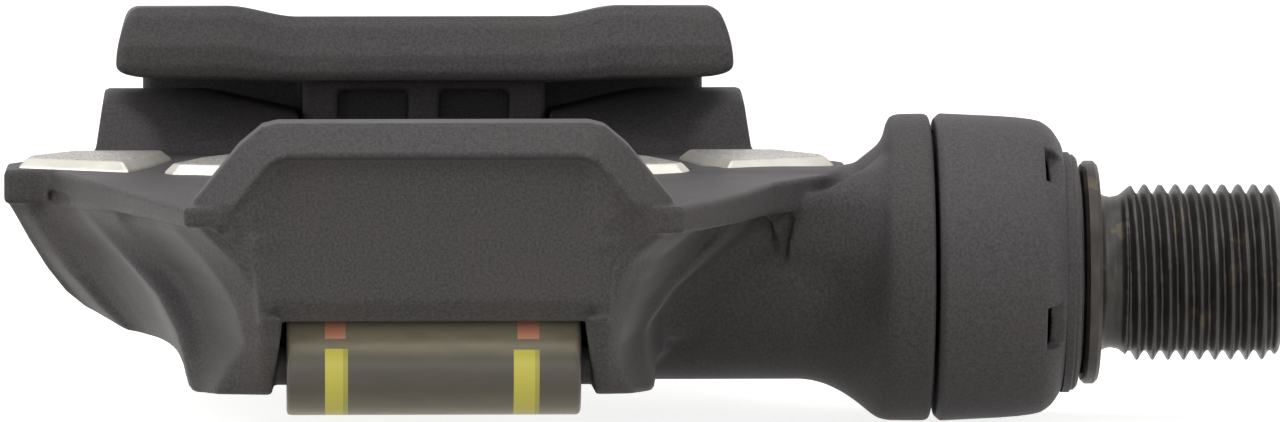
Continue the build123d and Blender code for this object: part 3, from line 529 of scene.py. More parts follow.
def lathe(name, profile, sides=144):
    """A ring turned about the spindle axis from a closed line of (x, radius) points."""
    turns = np.arange(sides) * 2 * math.pi / sides
    rings = [
        np.stack([np.full(sides, x), r * np.cos(turns), r * np.sin(turns)], 1)
        for x, r in profile
    ]
    here = np.arange(sides)
    after = (here + 1) % sides
    quads = []
    for k in range(len(profile)):
        low, high = k * sides, (k + 1) % len(profile) * sides
        quads.append(np.stack([low + here, high + here, high + after, low + after], 1))
    obj = fast_mesh(name, np.concatenate(rings) * MM, np.concatenate(quads))
    obj.data.set_sharp_from_angle(angle=math.radians(35))
    return obj


# ======================================================================
# Pedal body
# ======================================================================
OUTBOARD_FRONT = FrontMap(OUTBOARD_SECTIONS, 0.22)
INBOARD_FRONT = FrontMap(INBOARD_SECTIONS, 0.3)


def body_field(x_place, y, z):
    """Distance to the whole pedal body."""
    x = x_place - MIDDLE_X
    across = np.abs(x)
    left = platform_half(
        -x, y, z, OUTBOARD_DECK, OUTBOARD_EDGE, OUTBOARD_FRONT, OUTBOARD_HULL,
        (OUTBOARD_KEEL, OUTBOARD_LEAN),
    )
    right = platform_half(
        x, y, z, INBOARD_DECK, INBOARD_EDGE, INBOARD_FRONT, INBOARD_HULL,
        (INBOARD_KEEL, INBOARD_LEAN),
    )
    shape = np.where(x < 0, left, right)
    shape = either(shape, barrel(x_place, y, z), 1.0)
    shape = either(shape, web(x, y, z), 0.15)
    shape = either(shape, nose(across, y, z), 0.5)
    shape = without(shape, chin(across, y, z), 0.15)
    shape = either(shape, ears(across, y, z), 0.5)
    shape = without(shape, pocket(across, y, z), 0.25)
    shape = without(shape, blade_channel(across, y, z), 0.25)
    shape = without(shape, dimple(-x, y, z), 0.15)
    slot = np.maximum(slab(across, -SLOT_HALF, SLOT_HALF), SLOT_FRONT - y)
    shape = without(shape, slot, 0.25)
    shape = np.maximum(shape, -bores(x_place, y, z))
    pin = np.maximum(circle(y, z, PIVOT, PIN_RADIUS + 0.01), across - EAR_HALF + PIN_INSET)
    shape = np.maximum(shape, -pin)
    return np.maximum(shape, -pad_recesses(across, y, z))


def platform_half(across, y, z, outline, edge, front_map, hull, keel):
    """One half of the platform: the deck, and the hull and the keel's rail under it."""
    low = np.interp(y, EDGE_STATIONS, edge)
    deck = both(polygon(across, y, outline), slab(z, low, DECK_TOP), 0.4)
    front = front_map.field(across, y, z)
    body = both(polygon(across, z, hull), slab(y, -60, HULL_REAR), 1.2)
    keel_bottom = KEEL_FRONT_BOTTOM - KEEL_SLOPE * (y - KEEL_FRONT)
    width, lean = keel
    half = width + lean * np.clip(z - KEEL_FRONT_BOTTOM, -2.0, KEEL_LEAN_REACH / lean)
    rail = both(slab(across, -5, half), slab(y, -60, KEEL_REAR), 1.2)
    rail = both(rail, slab(z, keel_bottom, DECK_BOTTOM + 1), 0.7)
    return either(deck, both(either(body, rail, 0.35), front, 0.35), 0.2)


def lip(z):
    """How far across the flare's lip is at a height."""
    return np.interp(z, [point[1] for point in LIP], [point[0] for point in LIP])


def web(x, y, z):
    """The web between the platform's inboard edge and the barrel."""
    slope = np.interp(z, WEB_HEIGHTS, WEB_SLOPES)
    front = -WEB_BACK - slope * np.maximum(lip(z) - WEB_FLAT - x, 0)
    return both(polygon(x, z, WEB_OUTLINE), np.maximum((front - y) / 2.4, y), 0.2)


def flare_shell(x, y, z):
    """The front of the flare, which runs on to the web and ends there in a lip."""
    section = both(np.abs(y) - SHELL_HALF, slab(z, SHELL_BOTTOM, DECK_TOP), SHELL_CORNER)
    edge = lip(z) + LIP_SLOPE * np.maximum(y + SHELL_HALF, 0)
    return both(section, slab(x, edge, SHELL_END - MIDDLE_X) * 0.8, 0.12)


def barrel(x, y, z):
    """The bearing boss, the flare and the collar."""
    boss = both(np.hypot(y, z) - BARREL_RADIUS, slab(x, BOSS_END, FLARE_X), 0.8)
    boss = both(boss, z - np.where(x < BOSS_FLAT_END, DECK_TOP, 99), 0.3)
    radius = np.hypot(y, z - POD_RISE)
    upward = 0.5 + 0.5 * (z - POD_RISE) / np.maximum(radius, 1)
    late = x - upward * np.interp(radius, FLARE_RADII, FLARE_DELAY)
    flare = polygon(late, radius, smooth_steps(FLARE_PROFILE, 2) + FLARE_CORE)
    flare = both(flare, x - COLLAR_X, 0.5)
    flare = either(flare, flare_shell(x - MIDDLE_X, y, z), 2.0)
    return either(boss, flare, 0.5)


def nose(across, y, z):
    """The arch over the cleat pocket, its recessed panel, and the block above the leaf spring."""
    outline = polygon(across, z, ARCH_OUTLINE)
    panel = -polygon(across, z, PANEL_OUTLINE)
    rim = np.clip(ARCH_BAND + 0.2 + outline, 0, 3) * ease((z - RIM_FADE[0]) / RIM_FADE[1])
    edge = np.interp(z, *PANEL_EDGE)
    side = np.clip((edge - across) / (edge - PANEL_FLAT_HALF), 0, 1)
    side = np.maximum(side, 1 - ease((z - SIDE_FADE[0]) / SIDE_FADE[1]))
    sunk = np.clip(panel / 0.3, 0, 1) * (PANEL_SHARE + (1 - PANEL_SHARE) * side)
    front = NOSE_FRONT + RIM_LEAN * rim + BLOCK_TURN * np.maximum(across - BLOCK_HALF, 0)
    front = front + np.where(panel > 0, PANEL_DEPTH * sunk, 0)
    corner = ease((across - CORNER_FADE[0]) / CORNER_FADE[1])
    corner = corner * ease((CORNER_TOP[0] - z) / CORNER_TOP[1])
    behind = NOSE_FRONT + PANEL_DEPTH + CORNER_BACK
    front = np.maximum(front, front * (1 - corner) + behind * corner)
    return both(outline, np.maximum((front - y) * 0.8, y - NOSE_REAR), 0.25)


def chin(across, y, z):
    """What is cut away under the panel, where the nose slopes back to the leaf spring."""
    fade = np.clip((CHIN_HALF - across) / (CHIN_HALF - CHANNEL_HALF), 0, 1)
    drop = np.clip(CHIN_TOP - z, 0, CHIN_TOP - CHIN_BOTTOM)
    back = NOSE_FRONT + PANEL_DEPTH + CHIN_SLOPE * drop * fade
    half = np.where(z > CHIN_BOTTOM, CHIN_HALF, CHANNEL_HALF)
    return np.maximum(np.maximum((y - back) * 0.45, z - CHIN_TOP), across - half)


def ears(across, y, z):
    """The two plates that carry the claw pin."""
    turn = EAR_TURN * np.maximum(across - EAR_CREASE, 0)
    ahead = y - turn * np.clip((EAR_TURN_REAR - y) / EAR_TURN_FADE, 0, 1)
    radius = np.where(y > REBATE_FRONT, REBATE_RADIUS, EAR_RADIUS)
    side = both(polygon(ahead, z, EAR_OUTLINE), circle(y, z, PIVOT, radius), 0.6)
    drop = EAR_DROP * np.clip((EAR_STEP[0] - across) / EAR_STEP[1], 0, 1)
    top = PIVOT[1] + EAR_RADIUS - drop
    half = EAR_HALF - EAR_TAPER * np.maximum(z - EAR_TAPER_BOTTOM, 0)
    return both(both(side, z - top, 0.3), slab(across, SLOT_HALF, half), 0.35)


def pocket(across, y, z):
    """The cleat pocket under the arch and the shallow well behind it."""
    inner = both(slab(across, -POCKET_HALF, POCKET_HALF), slab(y, POCKET_FRONT, 99), 0.8)
    inner = both(inner, slab(z, POCKET_FLOOR, ARCH_TOP - ARCH_BAND), 0.6)
    under_arch = np.maximum(inner, y - NOSE_REAR - 1)
    well = both(slab(across, -WELL_HALF, WELL_HALF), slab(y, POCKET_FRONT, WELL_REAR), 0.8)
    return np.minimum(under_arch, np.maximum(well, slab(z, DECK_TOP - 0.5, DECK_TOP + 5)))


def blade_channel(across, y, z):
    """The channel of the leaf spring, round the tongue inside its curl."""
    by, bz = BLADE_NOSE
    inner = BLADE_RADIUS - BLADE_THICKNESS - BLADE_GAP
    top = bz - inner - KEEL_SLOPE * (y - by)
    below = np.maximum(z - np.where(y < by, bz + BLADE_RADIUS - 0.1, top), -30 - z)
    curl = circle(y, z, BLADE_NOSE, BLADE_RADIUS + BLADE_GAP)
    leg = np.maximum(
        slab(y, by, by + BLADE_LEG + BLADE_GAP), slab(z, bz, bz + BLADE_RADIUS + BLADE_GAP)
    )
    tongue = np.minimum(
        circle(y, z, BLADE_NOSE, inner),
        np.maximum(slab(y, by, by + TONGUE_LENGTH), np.abs(z - bz) - inner),
    )
    room = np.maximum(np.minimum(np.minimum(below, curl), leg), -tongue)
    half = CHANNEL_HALF + CHANNEL_SPREAD * np.clip(CHANNEL_SPREAD_TOP - z, 0, 9)
    return np.maximum(room, np.abs(across) - half)


def dimple(outboard, y, z):
    """The small recess in the platform's outboard edge."""
    place, height = DIMPLE
    half_width, half_height = DIMPLE_HALF
    square = both(np.abs(outboard - place) - half_width, np.abs(z - height) - half_height, 0.3)
    depth = -polygon(outboard, y, OUTBOARD_DECK) - DIMPLE_DEPTH
    return np.maximum(np.maximum(square, depth), y - DIMPLE_REAR)


def bores(x, y, z):
    """The bores for the bearings, the spindle and the seal."""
    radius = np.hypot(y, z)
    found = [np.maximum(radius - bore, slab(x, low, high)) for low, high, bore in BORES]
    return np.minimum.reduce(np.broadcast_arrays(*found))


def pad_recesses(across, y, z):
    """The recesses that the wear pads sit in."""
    plan = np.minimum(polygon(across, y, OUTER_PAD), polygon(across, y, INNER_PAD)) - PAD_FIT
    return np.maximum(plan, PAD_BASE - z)


def pad_field(outline, side):
    """Distance to a wear pad with bevelled edges, on one side of the platform."""
    def field(x_place, y, z):
        plan = polygon(side * (x_place - MIDDLE_X), y, outline)
        rounded = both(plan, slab(z, PAD_BASE, PAD_TOP), 0.12)
        bevel = (plan + z - (PAD_TOP - PAD_BEVEL)) / math.sqrt(2)
        return both(rounded, bevel, 0.12)
    return field


# ======================================================================
# Rear claw
# ======================================================================
def claw_field(x_place, y, z):
    """Distance to the rear claw: its bar and skirt, the arm down to the pin, and the heel."""
    across = np.abs(x_place - MIDDLE_X)
    sweep = CLAW_SWEEP * np.clip((across - CLAW_HALF) / (CLAW_BAR_HALF - CLAW_HALF), 0, 1)
    ahead = y + sweep * np.clip((SKIRT_REAR - y) / CLAW_SWEEP_LENGTH, 0, 1)
    lift = CLAW_LIFT * ease((across - CLAW_LIFT_FADE[0]) / CLAW_LIFT_FADE[1])
    lift = lift * np.clip((z - CLAW_BOTTOM) / CLAW_LIFT_HEIGHT, 0, 1)
    section = polygon(ahead, z - lift, CLAW_SECTION)
    low = CLAW_BOTTOM + CLAW_UNDER_RISE * np.maximum(across - CLAW_HALF, 0)
    section = both(section, low - z, 0.7)
    start, factor, power = CLAW_END_CURVE
    half = CLAW_BAR_HALF - factor * np.maximum(z - start, 0) ** power
    bar = both(section, slab(across, -5, half), 0.7)
    place, height = CLAW_END_UNDER
    bar = both(bar, ((across - place) * 0.5 + height - z) / 1.12, 0.4)
    skirt = both(slab(y, SKIRT_FRONT, SKIRT_REAR), slab(z, *SKIRT_HEIGHTS), 0.4)
    skirt = both(skirt, -circle(y, z, PIVOT, SKIRT_RADIUS), 0.2)
    skirt = both(skirt, slab(across, -5, SKIRT_HALF), 0.8)
    arm = np.minimum(polygon(y, z, CLAW_ARM), circle(y, z, PIVOT, BOSS_RADIUS))
    arm = np.minimum(arm, circle(y, z, HEEL, HEEL_RADIUS))
    arm = both(arm, slab(across, -5, CLAW_HALF), 0.4)
    window = both(
        slab(np.abs(across - WINDOW_SPREAD), -5, WINDOW_WIDTH / 2),
        slab(z, WINDOW_LOW, WINDOW_HIGH), 0.5,
    )
    window = np.maximum(window, y - WINDOW_REAR)
    shape = either(np.minimum(bar, skirt), arm, 0.6)
    shape = without(shape, window, 0.3)
    shape = np.maximum(shape, -circle(y, z, PIVOT, BUSH_BORE))
    clearance = np.maximum(circle(y, z, HEEL, HEEL_CLEARANCE), CLAW_HALF - across)
    return np.maximum(shape, -np.maximum(clearance, z - HEEL_CLEARANCE_TOP))


# ======================================================================
# Leaf spring
# ======================================================================
def blade_field(x_place, y, z):
    """Distance to the leaf spring, with its front end curled round the tongue."""
    by, bz = BLADE_NOSE
    bottom = bz - BLADE_RADIUS - KEEL_SLOPE * (y - by)
    flat = np.maximum(slab(z, bottom, bottom + BLADE_THICKNESS), slab(y, by, BLADE_REAR))
    radius = np.hypot(y - by, z - bz)
    curl = np.maximum(slab(radius, BLADE_RADIUS - BLADE_THICKNESS, BLADE_RADIUS), y - by)
    leg = np.maximum(
        slab(y, by, by + BLADE_LEG), slab(z - bz, BLADE_RADIUS - BLADE_THICKNESS, BLADE_RADIUS)
    )
    profile = np.minimum(np.minimum(flat, curl), leg)
    return both(profile, np.abs(x_place - MIDDLE_X) - BLADE_HALF, 0.25)


# ======================================================================
# Spindle, and the pod's shell
# ======================================================================
def spindle_field(x, y, z):
    """Distance to the spindle with its shaft, neck, cut thread and key socket."""
    radius = np.hypot(y, z)
    turned = polygon(x, radius, SPINDLE_PROFILE)
    turns = (x - THREAD_START) / THREAD_PITCH - np.arctan2(z, y) / (2 * math.pi)
    off = np.abs(turns - np.floor(turns) - 0.5) * THREAD_PITCH
    depth = np.clip((THREAD_PITCH * 7 / 16 - off) / FLANK, -0.3, THREAD_DEPTH)
    groove = np.maximum((THREAD_RADIUS - depth - radius) * 0.6, THREAD_START - 0.1 - x)
    sides = [math.radians(60 * k + 30) for k in range(3)]
    flats = [np.abs(y * math.cos(a) + z * math.sin(a)) for a in sides]
    socket = np.maximum.reduce(flats) - KEY_FLATS / 2
    socket = np.maximum(socket, THREAD_END - KEY_DEPTH - x)
    return both(np.maximum(turned, -groove), -socket, 0.2)


def pod_field(x, y, z):
    """Distance to the pod's shell, open to the pedal, with its spanner notches."""
    high = z - POD_RISE
    radius = np.hypot(y, high)
    corner = POD_RADIUS - POD_TAPER
    outline = smooth_steps([
        (POD_BACK + 0.5, POD_RADIUS - 0.04), (POD_FACE - POD_SHOULDER, corner),
        (POD_FACE - 0.9, corner - 0.75), (POD_FACE - 0.25, corner - 1.7),
        (POD_FACE, corner - POD_SHOULDER),
    ], 2)
    outline = [(POD_BACK, -3.0), (POD_BACK, POD_RADIUS - 0.5)] + outline + [(POD_FACE, -3.0)]
    room = polygon(x, radius, [
        (POD_BACK - 2, -3.0), (POD_BACK - 2, POD_BORE), (POD_FACE - POD_SHOULDER, POD_BORE),
        (POD_FACE - 1.2, POD_BORE - 1), (POD_FACE - 1.2, -3.0),
    ])
    shell = np.maximum(polygon(x, radius, outline), -room)
    shell = np.maximum(shell, SEAT_RADIUS - np.hypot(y, z))
    notches = []
    for k in range(NOTCH_COUNT):
        angle = math.radians(180 - NOTCH_TURN + 360 / NOTCH_COUNT * k)
        out = y * math.cos(angle) + high * math.sin(angle)
        side = -y * math.sin(angle) + high * math.cos(angle)
        notches.append(np.maximum(np.abs(side) - NOTCH_WIDTH / 2, corner - NOTCH_DEPTH - out))
    notch = np.maximum(np.minimum.reduce(notches), POD_FACE - NOTCH_LENGTH - x)
    return without(shell, notch, 0.2)


# ======================================================================
# Materials
# ======================================================================
def new_material(name):
    """An empty node material with its shader."""
    material = bpy.data.materials.new(name)
    material.use_nodes = True
    tree = material.node_tree
    tree.nodes.clear()
    output = tree.nodes.new("ShaderNodeOutputMaterial")
    shader = tree.nodes.new("ShaderNodeBsdfPrincipled")
    tree.links.new(shader.outputs["BSDF"], output.inputs["Surface"])
    return material, tree, shader


def feed(tree, socket, value):
    """Links a socket, or sets a constant straight on it."""
    if isinstance(value, (int, float, tuple)):
        socket.default_value = value
    else:
        tree.links.new(value, socket)


def maths(tree, operation, first, second=0.0):
    """A math node's output."""
    node = tree.nodes.new("ShaderNodeMath")
    node.operation = operation
    feed(tree, node.inputs[0], first)
    feed(tree, node.inputs[1], second)
    return node.outputs[0]


def noise(tree, scale, detail=3.0, rough=0.55, stretch=(1, 1, 1)):
    """A noise texture in object space."""
    place = tree.nodes.new("ShaderNodeTexCoord")
    mapping = tree.nodes.new("ShaderNodeMapping")
    mapping.inputs["Scale"].default_value = stretch
    tree.links.new(place.outputs["Object"], mapping.inputs["Vector"])
    texture = tree.nodes.new("ShaderNodeTexNoise")
    texture.inputs["Scale"].default_value = scale
    texture.inputs["Detail"].default_value = detail
    texture.inputs["Roughness"].default_value = rough
    tree.links.new(mapping.outputs["Vector"], texture.inputs["Vector"])
    return texture.outputs["Fac"]


def ramp(tree, source, stops):
    """A colour ramp from (place, colour) stops."""
    node = tree.nodes.new("ShaderNodeValToRGB")
    band = node.color_ramp
    while len(band.elements) < len(stops):
        band.elements.new(0.5)
    for element, (place, colour) in zip(band.elements, stops):
        element.position = place
        element.color = (*colour, 1)
    tree.links.new(source, node.inputs["Fac"])
    return node.outputs["Color"]


def tinted(tree, share, first, second, blend="MIX"):
    """The first colour with a share of the second mixed or blended in."""
    node = tree.nodes.new("ShaderNodeMix")
    node.data_type = "RGBA"
    node.blend_type = blend
    feed(tree, node.inputs["Factor"], share)
    feed(tree, node.inputs["A"], first)
    feed(tree, node.inputs["B"], second)
    return node.outputs["Result"]


def bump(tree, shader, height, strength, distance):
    """A bump from a height, in metres of distance."""
    node = tree.nodes.new("ShaderNodeBump")
    node.inputs["Strength"].default_value = strength
    node.inputs["Distance"].default_value = distance
    tree.links.new(height, node.inputs["Height"])
    tree.links.new(node.outputs["Normal"], shader.inputs["Normal"])
    return node


def grained(name, dark, light, rough, grain=2600.0, strength=0.35, metallic=0.0, sheen=0.5):
    """Fine-grained surface: plastics, cast and blasted metal."""
    material, tree, shader = new_material(name)
    speckle = noise(tree, grain, 2.0, 0.6)
    colour = ramp(tree, speckle, [(0.3, dark), (0.7, light)])
    tree.links.new(colour, shader.inputs["Base Color"])
    bump(tree, shader, speckle, strength, 0.0001)
    shader.inputs["Roughness"].default_value = rough
    shader.inputs["Metallic"].default_value = metallic
    shader.inputs["Specular IOR Level"].default_value = sheen
    return material


def composite(name, dark, light):
    """Moulded fibre-filled plastic: fine speckle, faint cloudy wear, satin where worn."""
    material, tree, shader = new_material(name)
    speckle = noise(tree, 4600.0, 1.0, 0.6)
    clouds = noise(tree, 110.0, 3.0, 0.5)
    colour = ramp(tree, speckle, [(0.32, dark), (0.68, light)])
    warmer = tuple(c * w for c, w in zip(light, (1.08, 1.0, 0.92))) + (1,)
    share = maths(tree, "MULTIPLY", maths(tree, "SUBTRACT", clouds, 0.42), 0.8)
    tree.links.new(tinted(tree, share, colour, warmer), shader.inputs["Base Color"])
    rough = maths(tree, "ADD", maths(tree, "MULTIPLY", clouds, 0.2), 0.42)
    tree.links.new(rough, shader.inputs["Roughness"])
    shader.inputs["Specular IOR Level"].default_value = 0.12
    bump(tree, shader, speckle, 0.35, 0.00008)
    return material


def pitted_steel(name):
    """Worn stainless pads: pale, with dark pits on top and bright edges."""
    material, tree, shader = new_material(name)
    pits = noise(tree, 5200.0, 3.0, 0.65)
    stains = noise(tree, 260.0, 3.0, 0.6)
    pitted = ramp(tree, pits, [(0.38, (0.20, 0.19, 0.18)), (0.60, (0.74, 0.72, 0.68))])
    surface = tree.nodes.new("ShaderNodeNewGeometry")
    split = tree.nodes.new("ShaderNodeSeparateXYZ")
    tree.links.new(surface.outputs["Normal"], split.inputs[0])
    flat = maths(tree, "GREATER_THAN", split.outputs["Z"], 0.96)
    colour = tinted(tree, flat, (0.68, 0.66, 0.61, 1), pitted)
    shade = ramp(tree, stains, [(0.35, (0.82, 0.81, 0.79)), (0.7, (1.0, 0.98, 0.95))])
    stained = tinted(tree, 1.0, colour, shade, "MULTIPLY")
    tree.links.new(stained, shader.inputs["Base Color"])
    shader.inputs["Metallic"].default_value = 0.75
    shader.inputs["Roughness"].default_value = 0.42
    bump(tree, shader, pits, 0.25, 0.00003)
    return material


def object_axes(tree):
    """The object coordinates, as outputs X, Y and Z."""
    place = tree.nodes.new("ShaderNodeTexCoord")
    split = tree.nodes.new("ShaderNodeSeparateXYZ")
    tree.links.new(place.outputs["Object"], split.inputs[0])
    return split.outputs


def inside_box(tree, across_low, across_high, z_low, z_high):
    """1 inside a box of object coordinates across and up the blade's nose, in millimetres."""
    axes = object_axes(tree)
    tests = [
        maths(tree, "GREATER_THAN", axes["X"], (MIDDLE_X + across_low) * MM),
        maths(tree, "LESS_THAN", axes["X"], (MIDDLE_X + across_high) * MM),
        maths(tree, "GREATER_THAN", axes["Z"], z_low * MM),
        maths(tree, "LESS_THAN", axes["Z"], z_high * MM),
        maths(tree, "LESS_THAN", axes["Y"], (BLADE_NOSE[0] + MARKS_LENGTH) * MM),
    ]
    total = tests[0]
    for test in tests[1:]:
        total = maths(tree, "MULTIPLY", total, test)
    return total


def blade_laminate(name):
    """Carbon laminate with a painted highlight along the top of its curl and a painted floor
    reflection along its bottom, and coloured marks at its front.
    """
    material, tree, shader = new_material(name)
    low, high = BLADE_NOSE[1] - BLADE_RADIUS, BLADE_NOSE[1] + BLADE_RADIUS
    above = maths(tree, "SUBTRACT", object_axes(tree)["Z"], low * MM)
    height = maths(tree, "DIVIDE", above, (high - low) * MM)
    # Painted light: the colour pales towards the top of the curl, a painted highlight, and towards
    # its bottom, a painted reflection of the floor; it is darkest between.
    colour = ramp(tree, height, [
        (0.0, (0.26, 0.23, 0.155)), (0.12, (0.13, 0.112, 0.076)), (0.28, (0.060, 0.051, 0.036)),
        (0.60, (0.070, 0.061, 0.045)), (0.74, (0.26, 0.226, 0.156)), (1.0, (0.56, 0.50, 0.37)),
    ])
    grain = noise(tree, 900.0, 4.0, 0.6, (0.35, 1.0, 1.6))
    darker = ramp(tree, grain, [(0.3, (0.78, 0.78, 0.78)), (0.7, (1.0, 1.0, 1.0))])
    colour = tinted(tree, 1.0, colour, darker, "MULTIPLY")
    for box, tint in BLADE_MARKS:
        colour = tinted(tree, inside_box(tree, *box), colour, tint)
    tree.links.new(colour, shader.inputs["Base Color"])
    shader.inputs["Roughness"].default_value = 0.36
    bump(tree, shader, grain, 0.12, 0.00006)
    return material


def dark_steel(name, dark, light, rough):
    """Black-treated steel with an oily, slightly brown sheen."""
    material, tree, shader = new_material(name)
    streaks = noise(tree, 700.0, 4.0, 0.6, (1.0, 0.5, 0.5))
    stains = noise(tree, 260.0, 3.0, 0.6)
    colour = ramp(tree, streaks, [(0.32, dark), (0.7, light)])
    share = maths(tree, "MULTIPLY", maths(tree, "GREATER_THAN", stains, 0.62), 0.4)
    browned = tinted(tree, share, colour, (0.12, 0.085, 0.045, 1))
    tree.links.new(browned, shader.inputs["Base Color"])
    shader.inputs["Metallic"].default_value = 0.55
    shader.inputs["Roughness"].default_value = rough
    bump(tree, shader, streaks, 0.15, 0.00005)
    return material


materials = {
    "body_composite": composite("body_composite", (0.052, 0.049, 0.050), (0.084, 0.079, 0.080)),
    "pod_composite": composite("pod_composite", (0.062, 0.058, 0.061), (0.099, 0.093, 0.097)),
    "pad_steel": pitted_steel("pad_steel"),
    "spindle_steel": dark_steel("spindle_steel", (0.022, 0.020, 0.019), (0.055, 0.050, 0.047), 0.36),
    "washer_steel": dark_steel("washer_steel", (0.022, 0.018, 0.016), (0.055, 0.047, 0.042), 0.40),
    "bearing_steel": grained(
        "bearing_steel", (0.50, 0.50, 0.51), (0.62, 0.62, 0.63), 0.22, 600.0, 0.05, 1.0
    ),
    "spacer_alloy": grained(
        "spacer_alloy", (0.55, 0.56, 0.58), (0.68, 0.69, 0.71), 0.32, 800.0, 0.08, 1.0
    ),
    "circuit_board": grained(
        "circuit_board", (0.012, 0.09, 0.04), (0.03, 0.16, 0.07), 0.30, 500.0, 0.1
    ),
    "battery_wrap": grained(
        "battery_wrap", (0.30, 0.32, 0.35), (0.42, 0.44, 0.47), 0.30, 400.0, 0.2, 0.8
    ),
    "gauge_foil": grained("gauge_foil", (0.55, 0.34, 0.08), (0.80, 0.55, 0.16), 0.35, 700.0, 0.1),
    "seal_rubber": grained("seal_rubber", (0.010, 0.010, 0.010), (0.03, 0.03, 0.03), 0.7, 900.0, 0.2),
    "cage_plastic": grained("cage_plastic", (0.62, 0.56, 0.42), (0.78, 0.72, 0.56), 0.5, 900.0, 0.1),
    "blade_laminate": blade_laminate("blade_laminate"),
}


def paint(obj, slot_name):
    """Gives a piece its one material."""
    obj.data.materials.clear()
    obj.data.materials.append(materials[slot_name])


slots = {row["node"]: row["material_slot"] for row in frame["record"]["subparts"]}
for node, obj in frame["nodes"].items():
    paint(obj, slots[node])

# ======================================================================
# Pieces: (piece, field, box, step, body it rides on, node it replaces)
# ======================================================================
GRID_PIECES = [
    ("body_shell", body_field, (-90, -45.5, -13), (-12.5, 40, 15.5), STEP, "platform", "pedal_body"),
    ("claw_shell", claw_field, (-81, 13, -10), (-27.5, 41, 22), STEP, "claw", "rear_claw"),
    ("pod_shell", pod_field, (-14, -13.2, -13.2), (-2, 13.2, 13.8), FINE_STEP,
     "spindle_unit", "pod_housing"),
    ("spindle_shell", spindle_field, (-72.5, -8.9, -8.9), (15.5, 8.9, 8.9), FINE_STEP,
     "spindle_unit", "spindle"),
    ("blade_leaf", blade_field, (-66.5, -41.5, -12.5), (-42, 39.8, 0.2), STEP,
     "leaf", "blade_spring"),
]
for place, side in (("outboard", -1), ("inboard", 1)):
    for kind, outline in (("outer", OUTER_PAD), ("inner", INNER_PAD)):
        corners = np.array(outline)
        x_ends = sorted(MIDDLE_X + side * v for v in (corners[:, 0].min(), corners[:, 0].max()))
        GRID_PIECES.append((
            f"pad_{place}_{kind}_shell", pad_field(outline, side),
            (x_ends[0] - 0.6, corners[:, 1].min() - 0.6, PAD_BASE - 0.6),
            (x_ends[1] + 0.6, corners[:, 1].max() + 0.6, PAD_TOP + 0.6),
            FINE_STEP, "platform", f"pad_{place}_{kind}",
        ))
LATHE_PIECES = [
    ("washer_ring", WASHER_PROFILE, "crank_washer"),
    ("pod_ring", RING_PROFILE, "pod_end_ring"),
]
pieces = [
    (grid_mesh(name, field, low, high, step), body, node)
    for name, field, low, high, step, body, node in GRID_PIECES
]
pieces += [(lathe(name, profile), "spindle_unit", node) for name, profile, node in LATHE_PIECES]
for piece, body, node in pieces:
    paint(piece, slots[node])
    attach(piece, body)
    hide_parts(node)

# ======================================================================
# Camera, lights and floor
# ======================================================================
VIEW_ANGLE = math.radians(-1.7)
VIEW_HEIGHT = math.radians(4.0)
VIEW_DISTANCE = 970 * MM
PIXELS_PER_MM = 12.33
IMAGE_WIDTH = 1280
LOOK_RIGHT = -36.98 * MM
LOOK_UP = 4.95 * MM
SENSOR = 36.0

back = Vector((
    math.sin(VIEW_ANGLE) * math.cos(VIEW_HEIGHT),
    -math.cos(VIEW_ANGLE) * math.cos(VIEW_HEIGHT),
    math.sin(VIEW_HEIGHT),
))
right = Vector((math.cos(VIEW_ANGLE), math.sin(VIEW_ANGLE), 0))
up = back.cross(right)
target = right * LOOK_RIGHT + up * LOOK_UP
camera_data = bpy.data.cameras.new("camera")
camera_data.sensor_width = SENSOR
camera_data.lens = SENSOR * PIXELS_PER_MM * VIEW_DISTANCE / MM / IMAGE_WIDTH
camera_data.clip_start = 0.01
camera = bpy.data.objects.new("camera", camera_data)
bpy.context.scene.collection.objects.link(camera)
camera.location = target + back * VIEW_DISTANCE
camera.rotation_euler = back.to_track_quat("Z", "Y").to_euler()
bpy.context.scene.camera = camera


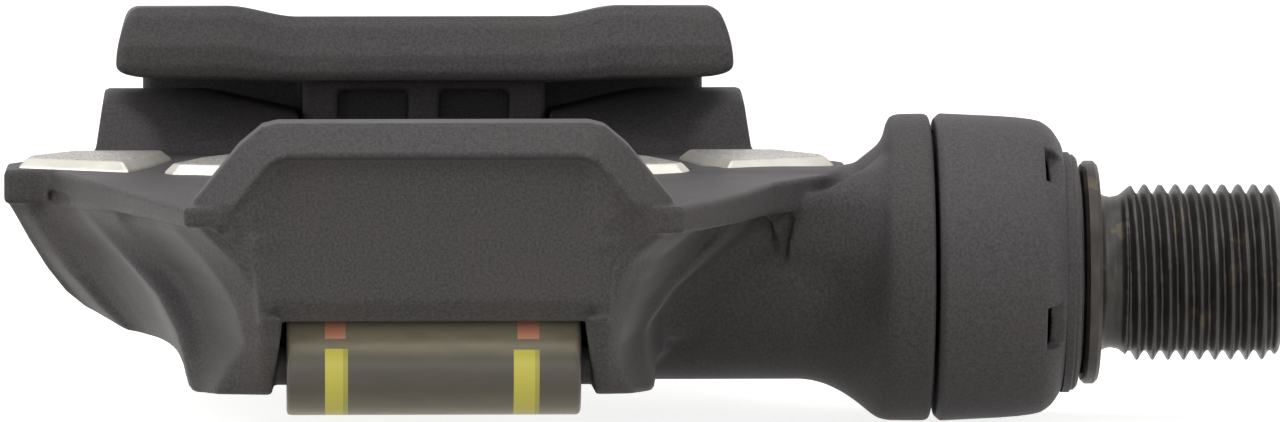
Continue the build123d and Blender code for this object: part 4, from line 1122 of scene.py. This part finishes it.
def area_light(name, place, size, power):
    """A square soft light, turned to the middle of the part."""
    data = bpy.data.lights.new(name, "AREA")
    data.size = size
    data.energy = power
    light = bpy.data.objects.new(name, data)
    bpy.context.scene.collection.objects.link(light)
    light.location = place
    centre = Vector((MIDDLE_X + 15, 0, 0)) * MM
    light.rotation_euler = (Vector(place) - centre).to_track_quat("Z", "Y").to_euler()


area_light("top_light", (-0.08, -0.15, 0.75), 0.9, 4.6)
area_light("left_light", (-0.75, -0.3, 0.32), 0.6, 3.3)
area_light("right_light", (0.65, -0.3, 0.4), 0.6, 2.3)
area_light("front_light", (-0.1, -1.0, 0.06), 0.5, 1.6)


def seen_directly(tree):
    """1 for camera, glossy and transmission rays, else 0."""
    path = tree.nodes.new("ShaderNodeLightPath")
    looked = maths(tree, "MAXIMUM", path.outputs["Is Camera Ray"], path.outputs["Is Glossy Ray"])
    return maths(tree, "MAXIMUM", looked, path.outputs["Is Transmission Ray"])


def between(tree, share, low, high):
    """A value that goes from low to high with share."""
    node = tree.nodes.new("ShaderNodeMapRange")
    node.inputs["To Min"].default_value = low
    node.inputs["To Max"].default_value = high
    tree.links.new(share, node.inputs["Value"])
    return node.outputs["Result"]


# White to the camera and in reflections; as a light, a plain grey surround.
WORLD_LIGHT = 0.08
world = bpy.data.worlds.new("studio")
bpy.context.scene.world = world
world.use_nodes = True
background = world.node_tree.nodes["Background"]
background.inputs["Color"].default_value = (1, 1, 1, 1)
strength = between(world.node_tree, seen_directly(world.node_tree), WORLD_LIGHT, 1.0)
world.node_tree.links.new(strength, background.inputs["Strength"])

FLOOR_SIZE = 6.0
FLOOR_GLOW = 0.85
bpy.ops.mesh.primitive_plane_add(size=FLOOR_SIZE, location=(0, 0, cad_box[0].z))
floor = bpy.context.active_object
floor.name = "floor"
floor_material, floor_tree, floor_shader = new_material("floor_paper")
floor_shader.inputs["Base Color"].default_value = (0.66, 0.64, 0.58, 1)
floor_shader.inputs["Roughness"].default_value = 0.9
floor_shader.inputs["Emission Color"].default_value = (1, 1, 1, 1)
glow = between(floor_tree, seen_directly(floor_tree), 0.0, FLOOR_GLOW)
floor_tree.links.new(glow, floor_shader.inputs["Emission Strength"])
floor.data.materials.append(floor_material)

bpy.context.scene.view_settings.view_transform = "Standard"
